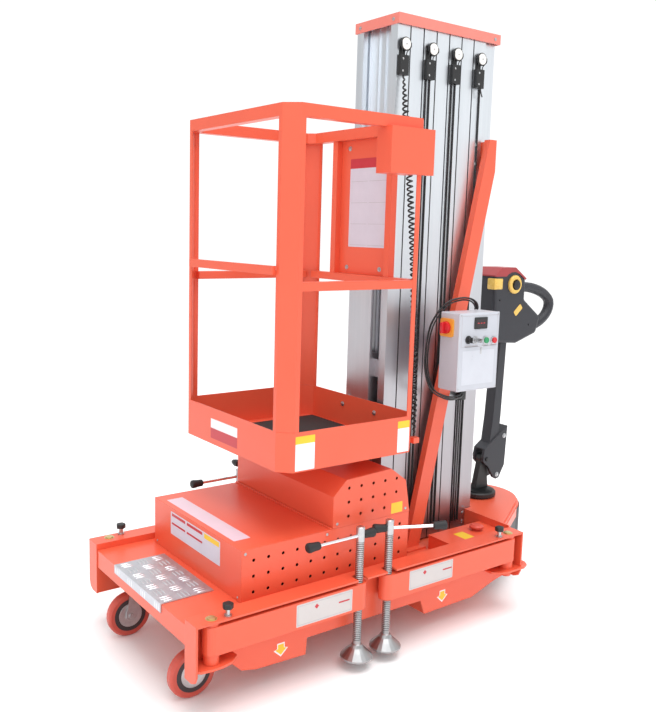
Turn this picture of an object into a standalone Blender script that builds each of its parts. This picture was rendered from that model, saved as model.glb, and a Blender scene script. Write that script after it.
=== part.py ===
"""Vertical mast lift: an upright nested mast on a walk-behind chassis, with a
work basket, four swing-out outriggers and a steered drive wheel at the back.

Metres, +Z up, -Y to the front (the step), floor at z = 0, origin on the floor
under the middle of the whole machine.
"""

import math

import bmesh
import bpy
from mathutils import Matrix, Vector

# Clearances
SEAT_GAP = 0.0003            # between pieces that rest on each other
RUN_GAP = 0.005              # between pieces that move past each other
BORE_GAP = 0.0006            # round a pin or an axle

# Chassis
FRONT_Y = -0.9145
FRAME_REAR_Y = 0.3665
HALF_WIDTH = 0.366
PLATE = 0.006
FLANGE_WIDTH = 0.062
FLANGE_TOP = 0.285
WEB_INNER = HALF_WIDTH - FLANGE_WIDTH
SKIRT_END_Z = 0.120          # bottom edge of the side plates at both ends
SKIRT_MID_Z = 0.122          # their raised stretch between the bellies
FRONT_BELLY = ((-0.7745, SKIRT_END_Z), (-0.7405, 0.088), (-0.6895, 0.077), (-0.5205, 0.071),
               (-0.5165, SKIRT_MID_Z))
REAR_BELLY = ((-0.0605, SKIRT_MID_Z - 0.002), (-0.0405, 0.070), (0.1825, 0.072), (0.2925, 0.106))
DECK_SHEET = 0.005
DECK_TOP = 0.265
DECK_REAR_Y = -0.0995
DECK_LIP = 0.057
TRAY_FRONT_Y = -0.0985
TRAY_FLOOR = 0.215
SHELF_INNER_X = 0.168
SHELF_FRONT_Y = 0.105
REAR_WALL_TOP = 0.291
TONGUE_TOP = 0.240
TONGUE_HALF_WIDTH = 0.075

# Step plate
STEP_HALF_WIDTH = 0.160
STEP_DEPTH = 0.169
STEP_SHEET = 0.003
STEP_LIP_BOTTOM = 0.242

# Outriggers and their jacks
PIVOT_X = HALF_WIDTH - 0.025
FRONT_PIVOT_Y = -0.8555
REAR_PIVOT_Y = 0.3145
FRONT_JACK_Y = -0.3555
REAR_JACK_Y = -0.2405
PIN_RADIUS = 0.012
EAR_TOP = 0.162
EAR_SHEET = 0.007
ARM_HALF_WIDTH = 0.025
ARM_BOTTOM = 0.190
ARM_TOP = 0.270
ARM_BOSS_RADIUS = 0.022
JACK_X = HALF_WIDTH - 0.021
SCREW_RADIUS = 0.0125
SCREW_TOP = 0.440
FOOT_RADIUS = 0.049
FOOT_BOTTOM = 0.030
BAR_Z = 0.414
BAR_RADIUS = 0.005
GRIP_RADIUS = 0.011
GRIP_LENGTH = 0.034
NOTCH_HALF = 0.018
NOTCH_X = JACK_X - 0.015
KNOB_RADIUS = 0.013
KNOB_X = HALF_WIDTH - 0.016
KNOB_TOP = 0.320

# Covers
COVER_HALF_WIDTH = WEB_INNER - 0.030
COVER_SHEET = 0.002
LOWER_COVER_FRONT_Y = -0.723
LOWER_COVER_REAR_Y = -0.0955
LOWER_COVER_TOP = 0.419
POWER_SIDE_GAP = 0.034
POWER_END_GAP = 0.025
UPPER_COVER_PROFILE = (
    (-0.4045, 0.0), (-0.4045, 0.518), (-0.3555, 0.564), (-0.1775, 0.572), (-0.1135, 0.525), (-0.0935, 0.0),
)
LEVER_Y = -0.3805
LEVER_Z = 0.472
LEVER_END_X = COVER_HALF_WIDTH + 0.071

# Mast
SECTION_COUNT = 4
MAST_FRONT_Y = -0.067
SECTION_HALF_WIDTH = 0.100
SECTION_DEPTH = 0.1115
SECTION_WALL = 0.004
SECTION_PITCH = SECTION_DEPTH + RUN_GAP
FIXED_REAR_HALF_WIDTH = 0.090
MAST_GATE = FIXED_REAR_HALF_WIDTH + 0.002
MAST_TOP = 1.980
FRONT_SECTION_TOP = MAST_TOP + 0.0067
MOVING_FOOT_Z = 0.222
RECESS_HALF_WIDTH = 0.067
RECESS_DEPTH = 0.030
RIB_HEIGHT = 0.006
RIB_HALF = 0.002
RIB_PLACES = (0.017, 0.059)
GROOVE_WIDTH = 0.005
GROOVE_DEPTH = 0.004
RAIL_HALF_WIDTH = 0.050
RAIL_REACH = 0.018
PAD_HALF_WIDTH = RECESS_HALF_WIDTH - 0.0004
PAD_HEIGHT = 0.060
PAD_PLACES = (0.230, 0.500)
CAP_HALF_WIDTH = SECTION_HALF_WIDTH + RUN_GAP + 0.003
CAP_SHEET = 0.003
CAP_TOP = FRONT_SECTION_TOP + SEAT_GAP + CAP_SHEET
CAP_LIP_Z = CAP_TOP - 0.033
FOOT_PLATE = 0.006

# Struts
STRUT_INNER_X = 0.115
STRUT_OUTER_X = 0.140
STRUT_HALF = 0.028
STRUT_WALL = 0.003
STRUT_FOOT_Y = 0.0585
STRUT_HEAD_Y = 0.3695
STRUT_HEAD_Z = 1.630
STRUT_SHOULDER_Z = 1.524

# Cable guides on the mast's side
GUIDE_SHEET = 0.002
PULLEY_RADIUS = 0.0215
PULLEY_Z = MAST_TOP - 0.083
PULLEY_OUTER_X = 0.112
CLAMP_HALF = 0.0175
CLAMP_TOP = PULLEY_Z - 0.035
CLAMP_BOTTOM = CLAMP_TOP - 0.062
CLAMP_OUTER_X = 0.116
STRAND_RADIUS = 0.0027
STRAND_OFFSET = 0.008
STRAND_END_Z = 0.260
# section: y of its pulley, y of its clamp, offsets of its strands
GUIDE_ROWS = (
    (1, -0.0395, -0.0465, ()),
    (2, 0.0815, 0.0695, (-STRAND_OFFSET, STRAND_OFFSET)),
    (3, 0.1955, 0.1875, (-STRAND_OFFSET, STRAND_OFFSET)),
    (4, 0.3115, 0.3035, (0.012,)),
)
COIL_RADIUS = 0.0115
COIL_ROUTE = ((0.112, -0.0465, 1.790), (0.136, -0.0475, 1.640), (0.200, -0.0525, 1.200), (0.262, -0.0755, 0.660))
BOSS_HALF = 0.012

# Basket
BASKET_HALF_WIDTH = 0.298
BASKET_FRONT_Y = -0.6085
BASKET_REAR_Y = -0.0905
BASKET_CHAMFER = 0.038
PAN_BOTTOM = 0.624
PAN_TOP = 0.740
PAN_SHEET = 0.003
PAN_FLOOR = 0.630
MAT_HALF_WIDTH = 0.245
MAT_FRONT_Y = -0.5905
MAT_REAR_Y = -0.1055
MAT_SHEET = 0.004
TOP_RAIL_TOP = 1.641
TOP_RAIL_BOTTOM = 1.606
RAIL_THICKNESS = 0.030
MID_RAIL_TOP = 1.162
MID_RAIL_BOTTOM = 1.137
POST_SHEET = 0.003
POST_WING = 0.015
UPRIGHT_X = 0.140
UPRIGHT_HALF = 0.0125
PANEL_TOP = TOP_RAIL_BOTTOM - SEAT_GAP
PANEL_SHEET = 0.003
BRACKET_OUTER_X = 0.320
BRACKET_INNER_X = 0.255
BRACKET_FRONT_Y = -0.2695
BRACKET_REAR_Y = -0.0985
BRACKET_BOTTOM = 1.475
ENTRY_BAR_LEFT = -0.238
ENTRY_BAR_RIGHT = 0.245
ENTRY_BAR_BOTTOM = 1.180
ENTRY_BAR_TOP = 1.205
ENTRY_BAR_SHEET = 0.0117

# Carriage that carries the basket in the front section
CARRIAGE_HALF_WIDTH = 0.100
CARRIAGE_BACK_Y = MAST_FRONT_Y - 0.010
LOWER_PLATE = (0.640, 0.735)
UPPER_PLATE = (1.160, 1.600)
ROLLER_HALF_WIDTH = 0.045
ROLLER_BLOCK = (0.630, 0.900)
ROLLER_BACK_Y = MAST_FRONT_Y + RECESS_DEPTH - RIB_HEIGHT - 0.0075

# Control box
BOX_INNER_X = 0.216
BOX_OUTER_X = 0.303
BOX_FRONT_Y = 0.0655
BOX_REAR_Y = 0.2535
BOX_BOTTOM = 0.797
BOX_TOP = 1.052
BUNDLE_RADIUS = 0.009
CABLE_CLIP = (0.2945, 0.735)

# Casters
CASTER_X = WEB_INNER - 0.0915
CASTER_Y = -0.8155
CASTER_TRAIL = 0.030
CASTER_RADIUS = 0.0715
CASTER_HALF_WIDTH = 0.015
CASTER_TOP = 0.190
CASTER_AXLE = 0.006

# Drive unit
STEER_Y = 0.5325
DRIVE_RADIUS = 0.105
DRIVE_HALF_WIDTH = 0.035
DRIVE_AXLE = 0.010
COLUMN_RADIUS = 0.040
MOTOR_RADIUS = 0.055
COLLAR_RADIUS = 0.070
COLLAR_TOP = 0.313
COVER_TAIL_RADIUS = 0.160
COVER_BASE_X = WEB_INNER - 0.022
DRIVE_COVER_BOTTOM = 0.130
DRIVE_COVER_TOP = 0.290
DRIVE_COVER_WALL = 0.004
BUMPER_TOP = 0.235
BUMPER_FRONT_Y = 0.445

# Tiller
TILT_Y = 0.5455
TILT_Z = 0.437
LUG_HALF = 0.012
FORK_HALF = 0.0275
SHAFT_HALF = 0.0225
HEAD_HALF = 0.048
LOOP_RADIUS = 0.020

# name: (red, green, blue), metallic, roughness
FINISHES = {
    "orange_paint": ((0.80, 0.16, 0.07), 0.0, 0.40),
    "orange_paint_pale": ((0.85, 0.24, 0.14), 0.0, 0.45),
    "anodised_aluminium": ((0.72, 0.73, 0.75), 1.0, 0.38),
    "tread_aluminium": ((0.80, 0.80, 0.82), 1.0, 0.30),
    "zinc_steel": ((0.62, 0.62, 0.62), 1.0, 0.35),
    "black_plastic": ((0.02, 0.02, 0.022), 0.0, 0.50),
    "charcoal_plastic": ((0.05, 0.05, 0.06), 0.0, 0.55),
    "black_rubber": ((0.015, 0.015, 0.015), 0.0, 0.80),
    "red_urethane": ((0.60, 0.10, 0.08), 0.0, 0.45),
    "dark_urethane": ((0.05, 0.05, 0.05), 0.0, 0.60),
    "box_enamel": ((0.78, 0.77, 0.78), 0.0, 0.45),
    "red_plastic": ((0.60, 0.02, 0.02), 0.0, 0.35),
    "battery_case": ((0.10, 0.10, 0.11), 0.0, 0.60),
}


def clear_scene():
    for thing in list(bpy.data.objects):
        bpy.data.objects.remove(thing, do_unlink=True)


def finish(name):
    material = bpy.data.materials.get(name)
    if material is None:
        colour, metallic, roughness = FINISHES[name]
        material = bpy.data.materials.new(name)
        material.use_nodes = True
        shader = material.node_tree.nodes["Principled BSDF"]
        shader.inputs["Base Color"].default_value = (*colour, 1.0)
        shader.inputs["Metallic"].default_value = metallic
        shader.inputs["Roughness"].default_value = roughness
    return material


def piece(name, bm):
    """One object from a bmesh, with its faces turned outwards."""
    bmesh.ops.recalc_face_normals(bm, faces=bm.faces)
    mesh = bpy.data.meshes.new(name)
    bm.to_mesh(mesh)
    bm.free()
    made = bpy.data.objects.new(name, mesh)
    bpy.context.scene.collection.objects.link(made)
    return made


def prism(name, outline, axis, start, end):
    """A closed outline pushed along X, Y or Z; its points are the other two axes in order."""
    place = {
        "x": lambda u, v, w: (w, u, v),
        "y": lambda u, v, w: (u, w, v),
        "z": lambda u, v, w: (u, v, w),
    }[axis]
    bm = bmesh.new()
    near = [bm.verts.new(place(u, v, start)) for u, v in outline]
    far = [bm.verts.new(place(u, v, end)) for u, v in outline]
    bm.faces.new(near)
    bm.faces.new(far)
    count = len(outline)
    for i in range(count):
        j = (i + 1) % count
        bm.faces.new((near[i], near[j], far[j], far[i]))
    return piece(name, bm)


def box(name, low, high):
    outline = [(low[0], low[1]), (high[0], low[1]), (high[0], high[1]), (low[0], high[1])]
    return prism(name, outline, "z", low[2], high[2])


def arc(centre, radius, start_deg, end_deg, steps):
    """Points on a round stretch of an outline, both ends included."""
    points = []
    for i in range(steps + 1):
        turn = math.radians(start_deg + (end_deg - start_deg) * i / steps)
        points.append((centre[0] + radius * math.cos(turn), centre[1] + radius * math.sin(turn)))
    return points


def turned(name, base, direction, profile, sides=20):
    """A round piece: (distance along the axis, radius) pairs from one end to the other."""
    bm = bmesh.new()
    rings = []
    for along, radius in profile:
        ring = []
        for i in range(sides):
            turn = 2 * math.pi * i / sides
            ring.append(bm.verts.new((radius * math.cos(turn), radius * math.sin(turn), along)))
        rings.append(ring)
    bm.faces.new(rings[0])
    bm.faces.new(rings[-1])
    for first, second in zip(rings, rings[1:]):
        for i in range(sides):
            j = (i + 1) % sides
            bm.faces.new((first[i], first[j], second[j], second[i]))
    turn = Vector(direction).normalized().to_track_quat("Z", "Y").to_matrix().to_4x4()
    bmesh.ops.transform(bm, matrix=Matrix.Translation(base) @ turn, verts=bm.verts)
    return piece(name, bm)


def rod(name, start, end, radius, sides=12):
    span = Vector(end) - Vector(start)
    return turned(name, start, span, [(0.0, radius), (span.length, radius)], sides)


def settled(thing):
    """The object with its modifiers or curve turned into one plain mesh."""
    graph = bpy.context.evaluated_depsgraph_get()
    mesh = bpy.data.meshes.new_from_object(thing.evaluated_get(graph))
    name = thing.name
    bpy.data.objects.remove(thing, do_unlink=True)
    mesh.name = name
    made = bpy.data.objects.new(name, mesh)
    bpy.context.scene.collection.objects.link(made)
    return made


def tube_along(name, points, radius, resolution=2):
    """A round tube with closed ends through the given points."""
    curve = bpy.data.curves.new(name, "CURVE")
    curve.dimensions = "3D"
    curve.bevel_depth = radius
    curve.bevel_resolution = resolution
    curve.use_fill_caps = True
    spline = curve.splines.new("POLY")
    spline.points.add(len(points) - 1)
    for point, place in zip(spline.points, points):
        point.co = (*place, 1.0)
    guide = bpy.data.objects.new(name, curve)
    bpy.context.scene.collection.objects.link(guide)
    return settled(guide)


def smooth_route(corners, steps):
    """Points on one smooth curve through the given places."""
    places = [Vector(c) for c in corners]
    places = [2 * places[0] - places[1]] + places + [2 * places[-1] - places[-2]]
    route = []
    for a, b, c, d in zip(places, places[1:], places[2:], places[3:]):
        for i in range(steps):
            t = i / steps
            route.append(
                0.5 * ((2 * b) + (c - a) * t + (2 * a - 5 * b + 4 * c - d) * t ** 2
                       + (3 * b - a - 3 * c + d) * t ** 3)
            )
    route.append(places[-2])
    return route


def combine(target, others, operation):
    for other in others:
        change = target.modifiers.new("join", "BOOLEAN")
        change.operation = operation
        change.solver = "EXACT"
        change.object = other
        target = settled(target)
        bpy.data.objects.remove(other, do_unlink=True)
    return target


def fuse(target, *others):
    return combine(target, others, "UNION")


def cut(target, *others):
    return combine(target, others, "DIFFERENCE")


def rounded(thing, width, segments=2):
    """The same piece with its sharp edges rounded."""
    edges = thing.modifiers.new("edges", "BEVEL")
    edges.width = width
    edges.segments = segments
    edges.limit_method = "ANGLE"
    edges.angle_limit = math.radians(35)
    return settled(thing)


def mirrored(thing, name):
    """A copy of a piece on the other side of the machine's middle plane."""
    bm = bmesh.new()
    bm.from_mesh(thing.data)
    bmesh.ops.scale(bm, vec=(-1, 1, 1), verts=bm.verts)
    return piece(name, bm)


def dress(thing, material, name, smooth=False, origin=None):
    """Gives a finished sub-part its name, its finish and its origin on its joint."""
    thing.name = name
    thing.data.name = name
    thing.data.materials.clear()
    thing.data.materials.append(finish(material))
    if smooth:
        thing.data.shade_smooth()
        thing.data.set_sharp_from_angle(angle=math.radians(35))
    if origin:
        thing.data.transform(Matrix.Translation(-Vector(origin)))
        thing.location = origin
    return thing


def both_sides(thing, stem, material, smooth=False, origin=None):
    """The right-hand piece and its left-hand twin."""
    twin = mirrored(thing, stem + "_left")
    dress(thing, material, stem + "_right", smooth, origin)
    left_origin = (-origin[0], origin[1], origin[2]) if origin else None
    dress(twin, material, stem + "_left", smooth, left_origin)


def side_frames():
    """Folded side channel that the outriggers fold into, with its pins, ears and knobs."""
    outline = ([(FRONT_Y, FLANGE_TOP), (FRONT_Y, SKIRT_END_Z)] + list(FRONT_BELLY) + list(REAR_BELLY)
               + [(FRAME_REAR_Y, SKIRT_END_Z), (FRAME_REAR_Y, FLANGE_TOP)])
    frame = prism("side", outline, "x", WEB_INNER, WEB_INNER + PLATE)
    flange = box("flange", (WEB_INNER, FRONT_Y, FLANGE_TOP - PLATE), (HALF_WIDTH, FRAME_REAR_Y, FLANGE_TOP))
    end = [(WEB_INNER, FLANGE_TOP), (WEB_INNER, SKIRT_END_Z - 0.001), (HALF_WIDTH - 0.026, SKIRT_END_Z - 0.001),
           (HALF_WIDTH - 0.008, SKIRT_END_Z + 0.007), (HALF_WIDTH, SKIRT_END_Z + 0.025), (HALF_WIDTH, FLANGE_TOP)]
    front_end = prism("front", end, "y", FRONT_Y, FRONT_Y + PLATE)
    rear_end = prism("rear", end, "y", FRAME_REAR_Y - PLATE, FRAME_REAR_Y)
    frame = fuse(frame, flange, front_end, rear_end)
    inner = WEB_INNER + 0.001
    edge = HALF_WIDTH
    ears = (
        [(inner, FRONT_Y + 0.0005), (edge - 0.010, FRONT_Y + 0.0005), (edge + 0.004, -0.902), (edge + 0.009, -0.872),
         (edge + 0.009, -0.838), (edge + 0.002, -0.806), (edge - 0.021, -0.7775), (inner, -0.7775)],
        [(inner, 0.2365), (edge - 0.021, 0.2365), (edge + 0.002, 0.262), (edge + 0.009, 0.290), (edge + 0.009, 0.372),
         (edge, 0.396), (edge - 0.020, 0.4095), (edge - 0.044, 0.4095), (inner, 0.398)],
    )
    for ear, pivot_y, knob_y in zip(ears, (FRONT_PIVOT_Y, REAR_PIVOT_Y), (-0.8105, 0.2595)):
        frame = fuse(
            frame,
            prism("ear", ear, "z", EAR_TOP - EAR_SHEET, EAR_TOP),
            rod("pin", (PIVOT_X, pivot_y, EAR_TOP - EAR_SHEET / 2), (PIVOT_X, pivot_y, FLANGE_TOP - PLATE / 2),
                PIN_RADIUS, 16),
            turned("knob", (KNOB_X, knob_y, FLANGE_TOP - PLATE / 2), (0, 0, 1), [
                (0, 0.006), (0.025, 0.006), (0.0255, KNOB_RADIUS), (0.036, KNOB_RADIUS), (0.038, 0.010)], 12),
        )
    nut = rod("nut", (PIVOT_X, REAR_PIVOT_Y, 0.135), (PIVOT_X, REAR_PIVOT_Y, EAR_TOP - EAR_SHEET / 2), 0.018, 16)
    frame = fuse(frame, nut)
    notches = []
    for jack_y in (FRONT_JACK_Y, REAR_JACK_Y):
        notches.append(box("notch", (NOTCH_X, jack_y - NOTCH_HALF, FLANGE_TOP - 2 * PLATE),
                           (HALF_WIDTH + 0.010, jack_y + NOTCH_HALF, FLANGE_TOP + PLATE)))
    hole = rod("hole", (edge - 0.019, 0.388, 0.10), (edge - 0.019, 0.388, 0.20), 0.006)
    both_sides(cut(frame, hole, *notches), "side_frame", "orange_paint")


def front_deck():
    """Tray between the side frames: top plate, front lip and the two caster towers."""
    edge = WEB_INNER - 0.0005
    lip_y = FRONT_Y + STEP_SHEET + SEAT_GAP
    deck = box("deck", (-edge, lip_y, DECK_TOP - DECK_SHEET), (edge, DECK_REAR_Y, DECK_TOP))
    lip = box("lip", (-edge, lip_y, DECK_TOP - DECK_LIP), (edge, lip_y + DECK_SHEET, DECK_TOP))
    towers = []
    for side in (-1, 1):
        x = side * CASTER_X
        towers.append(box("tower", (x - 0.045, CASTER_Y - 0.045, CASTER_TOP + SEAT_GAP),
                          (x + 0.045, CASTER_Y + 0.045, DECK_TOP - DECK_SHEET / 2)))
    dress(fuse(deck, lip, *towers), "orange_paint", "front_deck")


def step_tread():
    """Chequered step with its front edge folded over the deck lip."""
    base = DECK_TOP + SEAT_GAP
    top = box("step", (-STEP_HALF_WIDTH, FRONT_Y, base), (STEP_HALF_WIDTH, FRONT_Y + STEP_DEPTH, base + STEP_SHEET))
    lip = box("lip", (-STEP_HALF_WIDTH, FRONT_Y, STEP_LIP_BOTTOM),
              (STEP_HALF_WIDTH, FRONT_Y + STEP_SHEET, base + STEP_SHEET / 2))
    dress(fuse(top, lip), "tread_aluminium", "step_tread")


def base_tray():
    """Rear base: the tray that holds the mast, the belly under it and the tongue of the steered head."""
    edge = WEB_INNER - 0.0005
    floor_low = TRAY_FLOOR - DECK_SHEET
    low = list(REAR_BELLY[1:])
    outer = [
        (TRAY_FRONT_Y, DECK_TOP), (TRAY_FRONT_Y + PLATE, DECK_TOP), (TRAY_FRONT_Y + PLATE, TRAY_FLOOR),
        (FRAME_REAR_Y - PLATE, TRAY_FLOOR), (FRAME_REAR_Y - PLATE, REAR_WALL_TOP),
        (FRAME_REAR_Y, REAR_WALL_TOP), (FRAME_REAR_Y, SKIRT_END_Z),
    ] + low[::-1] + [(low[0][0], floor_low), (TRAY_FRONT_Y, floor_low)]
    tray = prism("tray", outer, "x", -edge, edge)
    sheet = DECK_SHEET
    hollow = prism(
        "hollow",
        [(low[0][0] + sheet, floor_low), (FRAME_REAR_Y - PLATE, floor_low), (FRAME_REAR_Y - PLATE, SKIRT_END_Z + sheet),
         (low[2][0] - 0.001, low[2][1] + sheet), (low[1][0] - 0.001, low[1][1] + sheet),
         (low[0][0] + sheet, low[0][1] + sheet)],
        "x", -edge - 0.01, edge + 0.01,
    )
    tray = cut(tray, hollow)
    # The rear wall is open where the fixed section and its feet stand
    gate = box("gate", (-MAST_GATE, FRAME_REAR_Y - 2 * PLATE, TRAY_FLOOR), (MAST_GATE, FRAME_REAR_Y + PLATE, 0.4))
    tray = cut(tray, gate)
    # A shelf at each side of the mast, level with the front deck
    for side in (-1, 1):
        x = sorted((side * SHELF_INNER_X, side * edge))
        lip_x = (x[0] + 0.0005, x[1] - 0.0005)
        tray = fuse(
            tray,
            box("shelf", (x[0], SHELF_FRONT_Y, DECK_TOP - DECK_SHEET), (x[1], FRAME_REAR_Y - PLATE / 2, DECK_TOP)),
            box("lip", (lip_x[0], SHELF_FRONT_Y + 0.0005, TRAY_FLOOR - 0.001),
                (lip_x[1], SHELF_FRONT_Y + DECK_SHEET, DECK_TOP - 0.001)),
        )
    start = FRAME_REAR_Y - PLATE / 2
    step = mast_rear() + 0.008
    top = TONGUE_TOP
    tongue = prism(
        "tongue",
        [(start, TRAY_FLOOR), (step, TRAY_FLOOR), (step, top), (STEER_Y + TONGUE_HALF_WIDTH, top),
         (STEER_Y + TONGUE_HALF_WIDTH, top - 0.010), (step + 0.013, top - 0.010), (step + 0.004, TRAY_FLOOR - 0.015),
         (start, TRAY_FLOOR - 0.015)],
        "x", -TONGUE_HALF_WIDTH, TONGUE_HALF_WIDTH,
    )
    hole = rod("hole", (0, STEER_Y, 0.2), (0, STEER_Y, 0.3), COLUMN_RADIUS + BORE_GAP, 24)
    dress(fuse(tray, cut(tongue, hole)), "orange_paint", "base_tray")


def covers():
    """Two folded sheet covers over the power pack, the upper one with sloping shoulders."""
    base = DECK_TOP + SEAT_GAP
    sheet = COVER_SHEET
    half = COVER_HALF_WIDTH
    lower = box("cover", (-half, LOWER_COVER_FRONT_Y, base), (half, LOWER_COVER_REAR_Y, LOWER_COVER_TOP))
    room = box("room", (-half + sheet, LOWER_COVER_FRONT_Y + sheet, base - 0.01),
               (half - sheet, LOWER_COVER_REAR_Y - sheet, LOWER_COVER_TOP - sheet))
    dress(cut(lower, room), "orange_paint", "lower_cover")

    foot = LOWER_COVER_TOP + SEAT_GAP
    outline = [(y, max(z, foot)) for y, z in UPPER_COVER_PROFILE]
    middle_y = (outline[0][0] + outline[-1][0]) / 2
    inner = []
    for y, z in outline:
        toward = 1 if y < middle_y else -1
        inner.append((y + toward * sheet * 1.15, z - sheet if z > foot else foot - 0.01))
    upper = prism("cover", outline, "x", -half, half)
    room = prism("room", inner, "x", -half + sheet, half - sheet)
    dress(cut(upper, room), "orange_paint", "upper_cover")


def power_block():
    """Battery and pump unit under the covers, as one plain mass."""
    block = box(
        "power",
        (-COVER_HALF_WIDTH + POWER_SIDE_GAP, LOWER_COVER_FRONT_Y + POWER_END_GAP, DECK_TOP + SEAT_GAP + 0.0002),
        (COVER_HALF_WIDTH - POWER_SIDE_GAP, LOWER_COVER_REAR_Y - POWER_END_GAP, LOWER_COVER_TOP - 0.024),
    )
    dress(block, "battery_case", "power_block")


def section_front(number):
    """y of a mast section's front face, section 1 being the front one."""
    return MAST_FRONT_Y + (number - 1) * SECTION_PITCH


def mast_rear():
    return section_front(SECTION_COUNT) + SECTION_DEPTH


def section_outline(number):
    """Cross-section from above: recess with ribs in front, side grooves, guide rail at the back."""
    half = SECTION_HALF_WIDTH
    front = section_front(number)
    back = front + SECTION_DEPTH
    middle = (front + back) / 2
    floor = front + RECESS_DEPTH
    right = []
    for place in RIB_PLACES:
        right += [(place - RIB_HALF, floor), (place - RIB_HALF, floor - RIB_HEIGHT),
                  (place + RIB_HALF, floor - RIB_HEIGHT), (place + RIB_HALF, floor)]
    right += [(RECESS_HALF_WIDTH, floor), (RECESS_HALF_WIDTH, front), (half, front)]
    if number == SECTION_COUNT:
        right += [(half, middle), (FIXED_REAR_HALF_WIDTH, middle), (FIXED_REAR_HALF_WIDTH, back)]
    else:
        right += [(half, middle - GROOVE_WIDTH / 2), (half - GROOVE_DEPTH, middle - GROOVE_WIDTH / 2),
                  (half - GROOVE_DEPTH, middle + GROOVE_WIDTH / 2), (half, middle + GROOVE_WIDTH / 2),
                  (half, back), (RAIL_HALF_WIDTH, back), (RAIL_HALF_WIDTH, back + RAIL_REACH)]
    return right + [(-x, y) for x, y in reversed(right)]


def mast_sections():
    """Four nested extrusions, each running on slide pads in the recess of the one behind."""
    for number in range(1, SECTION_COUNT + 1):
        front = section_front(number)
        back = front + SECTION_DEPTH
        fixed = number == SECTION_COUNT
        base = TRAY_FLOOR + SEAT_GAP if fixed else MOVING_FOOT_Z
        top = FRONT_SECTION_TOP if number == 1 else MAST_TOP
        section = prism("section", section_outline(number), "z", base, top)
        half = (FIXED_REAR_HALF_WIDTH if fixed else SECTION_HALF_WIDTH - GROOVE_DEPTH) - SECTION_WALL
        hollow = box("hollow", (-half, front + RECESS_DEPTH + SECTION_WALL, base - 0.01),
                     (half, back - SECTION_WALL, top + 0.01))
        section = cut(section, hollow)
        if fixed:
            feet = []
            for side in (-1, 1):
                near = side * (FIXED_REAR_HALF_WIDTH - 0.001)
                x = sorted((near, side * (FIXED_REAR_HALF_WIDTH + FOOT_PLATE)))
                feet.append(box("foot", (x[0], back - 0.0545, base), (x[1], FRAME_REAR_Y - PLATE - SEAT_GAP, base + 0.085)))
                x = sorted((near, side * 0.150))
                feet.append(box("foot", (x[0], back - 0.0545, base), (x[1], FRAME_REAR_Y - PLATE - SEAT_GAP, base + FOOT_PLATE)))
            section = fuse(section, *feet)
        else:
            pads = []
            for low in PAD_PLACES:
                pads.append(box("pad", (-PAD_HALF_WIDTH, back + RUN_GAP + 0.001, low),
                                (PAD_HALF_WIDTH, back + RAIL_REACH - 0.001, low + PAD_HEIGHT)))
            section = fuse(section, *pads)
        dress(section, "anodised_aluminium", f"mast_section_{number}")


def mast_cap():
    """Folded cap over all the sections, fixed to the front one."""
    front = MAST_FRONT_Y - 0.0005 - CAP_SHEET
    rear = section_front(SECTION_COUNT) + SECTION_DEPTH + RUN_GAP + CAP_SHEET
    cap = box("cap", (-CAP_HALF_WIDTH, front, CAP_LIP_Z), (CAP_HALF_WIDTH, rear, CAP_TOP))
    room = box("room", (-CAP_HALF_WIDTH + CAP_SHEET, front + CAP_SHEET, CAP_LIP_Z - 0.01),
               (CAP_HALF_WIDTH - CAP_SHEET, rear - CAP_SHEET, CAP_TOP - CAP_SHEET))
    dress(cut(cap, room), "orange_paint_pale", "mast_cap")


def strut_middle(z):
    """y of a strut's middle line at a height."""
    lean = (STRUT_HEAD_Y - STRUT_FOOT_Y) / (STRUT_HEAD_Z - TRAY_FLOOR)
    return STRUT_FOOT_Y + lean * (z - TRAY_FLOOR)


def struts():
    """Sloping channel braces from the base tray to the fixed mast section."""
    foot_z = TRAY_FLOOR + SEAT_GAP
    lean = math.hypot(STRUT_HEAD_Y - STRUT_FOOT_Y, STRUT_HEAD_Z - TRAY_FLOOR) / (STRUT_HEAD_Z - TRAY_FLOOR)
    half = STRUT_HALF * lean

    def outline(inset, bottom):
        rear_top = strut_middle(STRUT_SHOULDER_Z) + half - inset
        return [(strut_middle(bottom) - half + inset, bottom), (strut_middle(bottom) + half - inset, bottom),
                (rear_top, STRUT_SHOULDER_Z), (rear_top, STRUT_HEAD_Z - inset),
                (strut_middle(STRUT_HEAD_Z) - half + inset, STRUT_HEAD_Z - inset)]

    strut = prism("strut", outline(0, foot_z), "x", STRUT_INNER_X, STRUT_OUTER_X)
    hollow = prism("hollow", outline(STRUT_WALL, foot_z + PLATE), "x", STRUT_INNER_X - 0.01, STRUT_OUTER_X - STRUT_WALL)
    strut = cut(strut, hollow)
    foot = box("foot", (STRUT_INNER_X - 0.004, STRUT_FOOT_Y - 0.044, foot_z),
               (STRUT_OUTER_X + 0.022, STRUT_FOOT_Y + 0.044, foot_z + PLATE))
    back = section_front(SECTION_COUNT) + SECTION_DEPTH
    spacer = box("spacer", (FIXED_REAR_HALF_WIDTH + SEAT_GAP, back - 0.050, STRUT_SHOULDER_Z),
                 (STRUT_OUTER_X - STRUT_WALL / 2, back - 0.0215, STRUT_HEAD_Z - 0.006))
    both_sides(fuse(strut, foot, spacer), "strut", "orange_paint")


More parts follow.
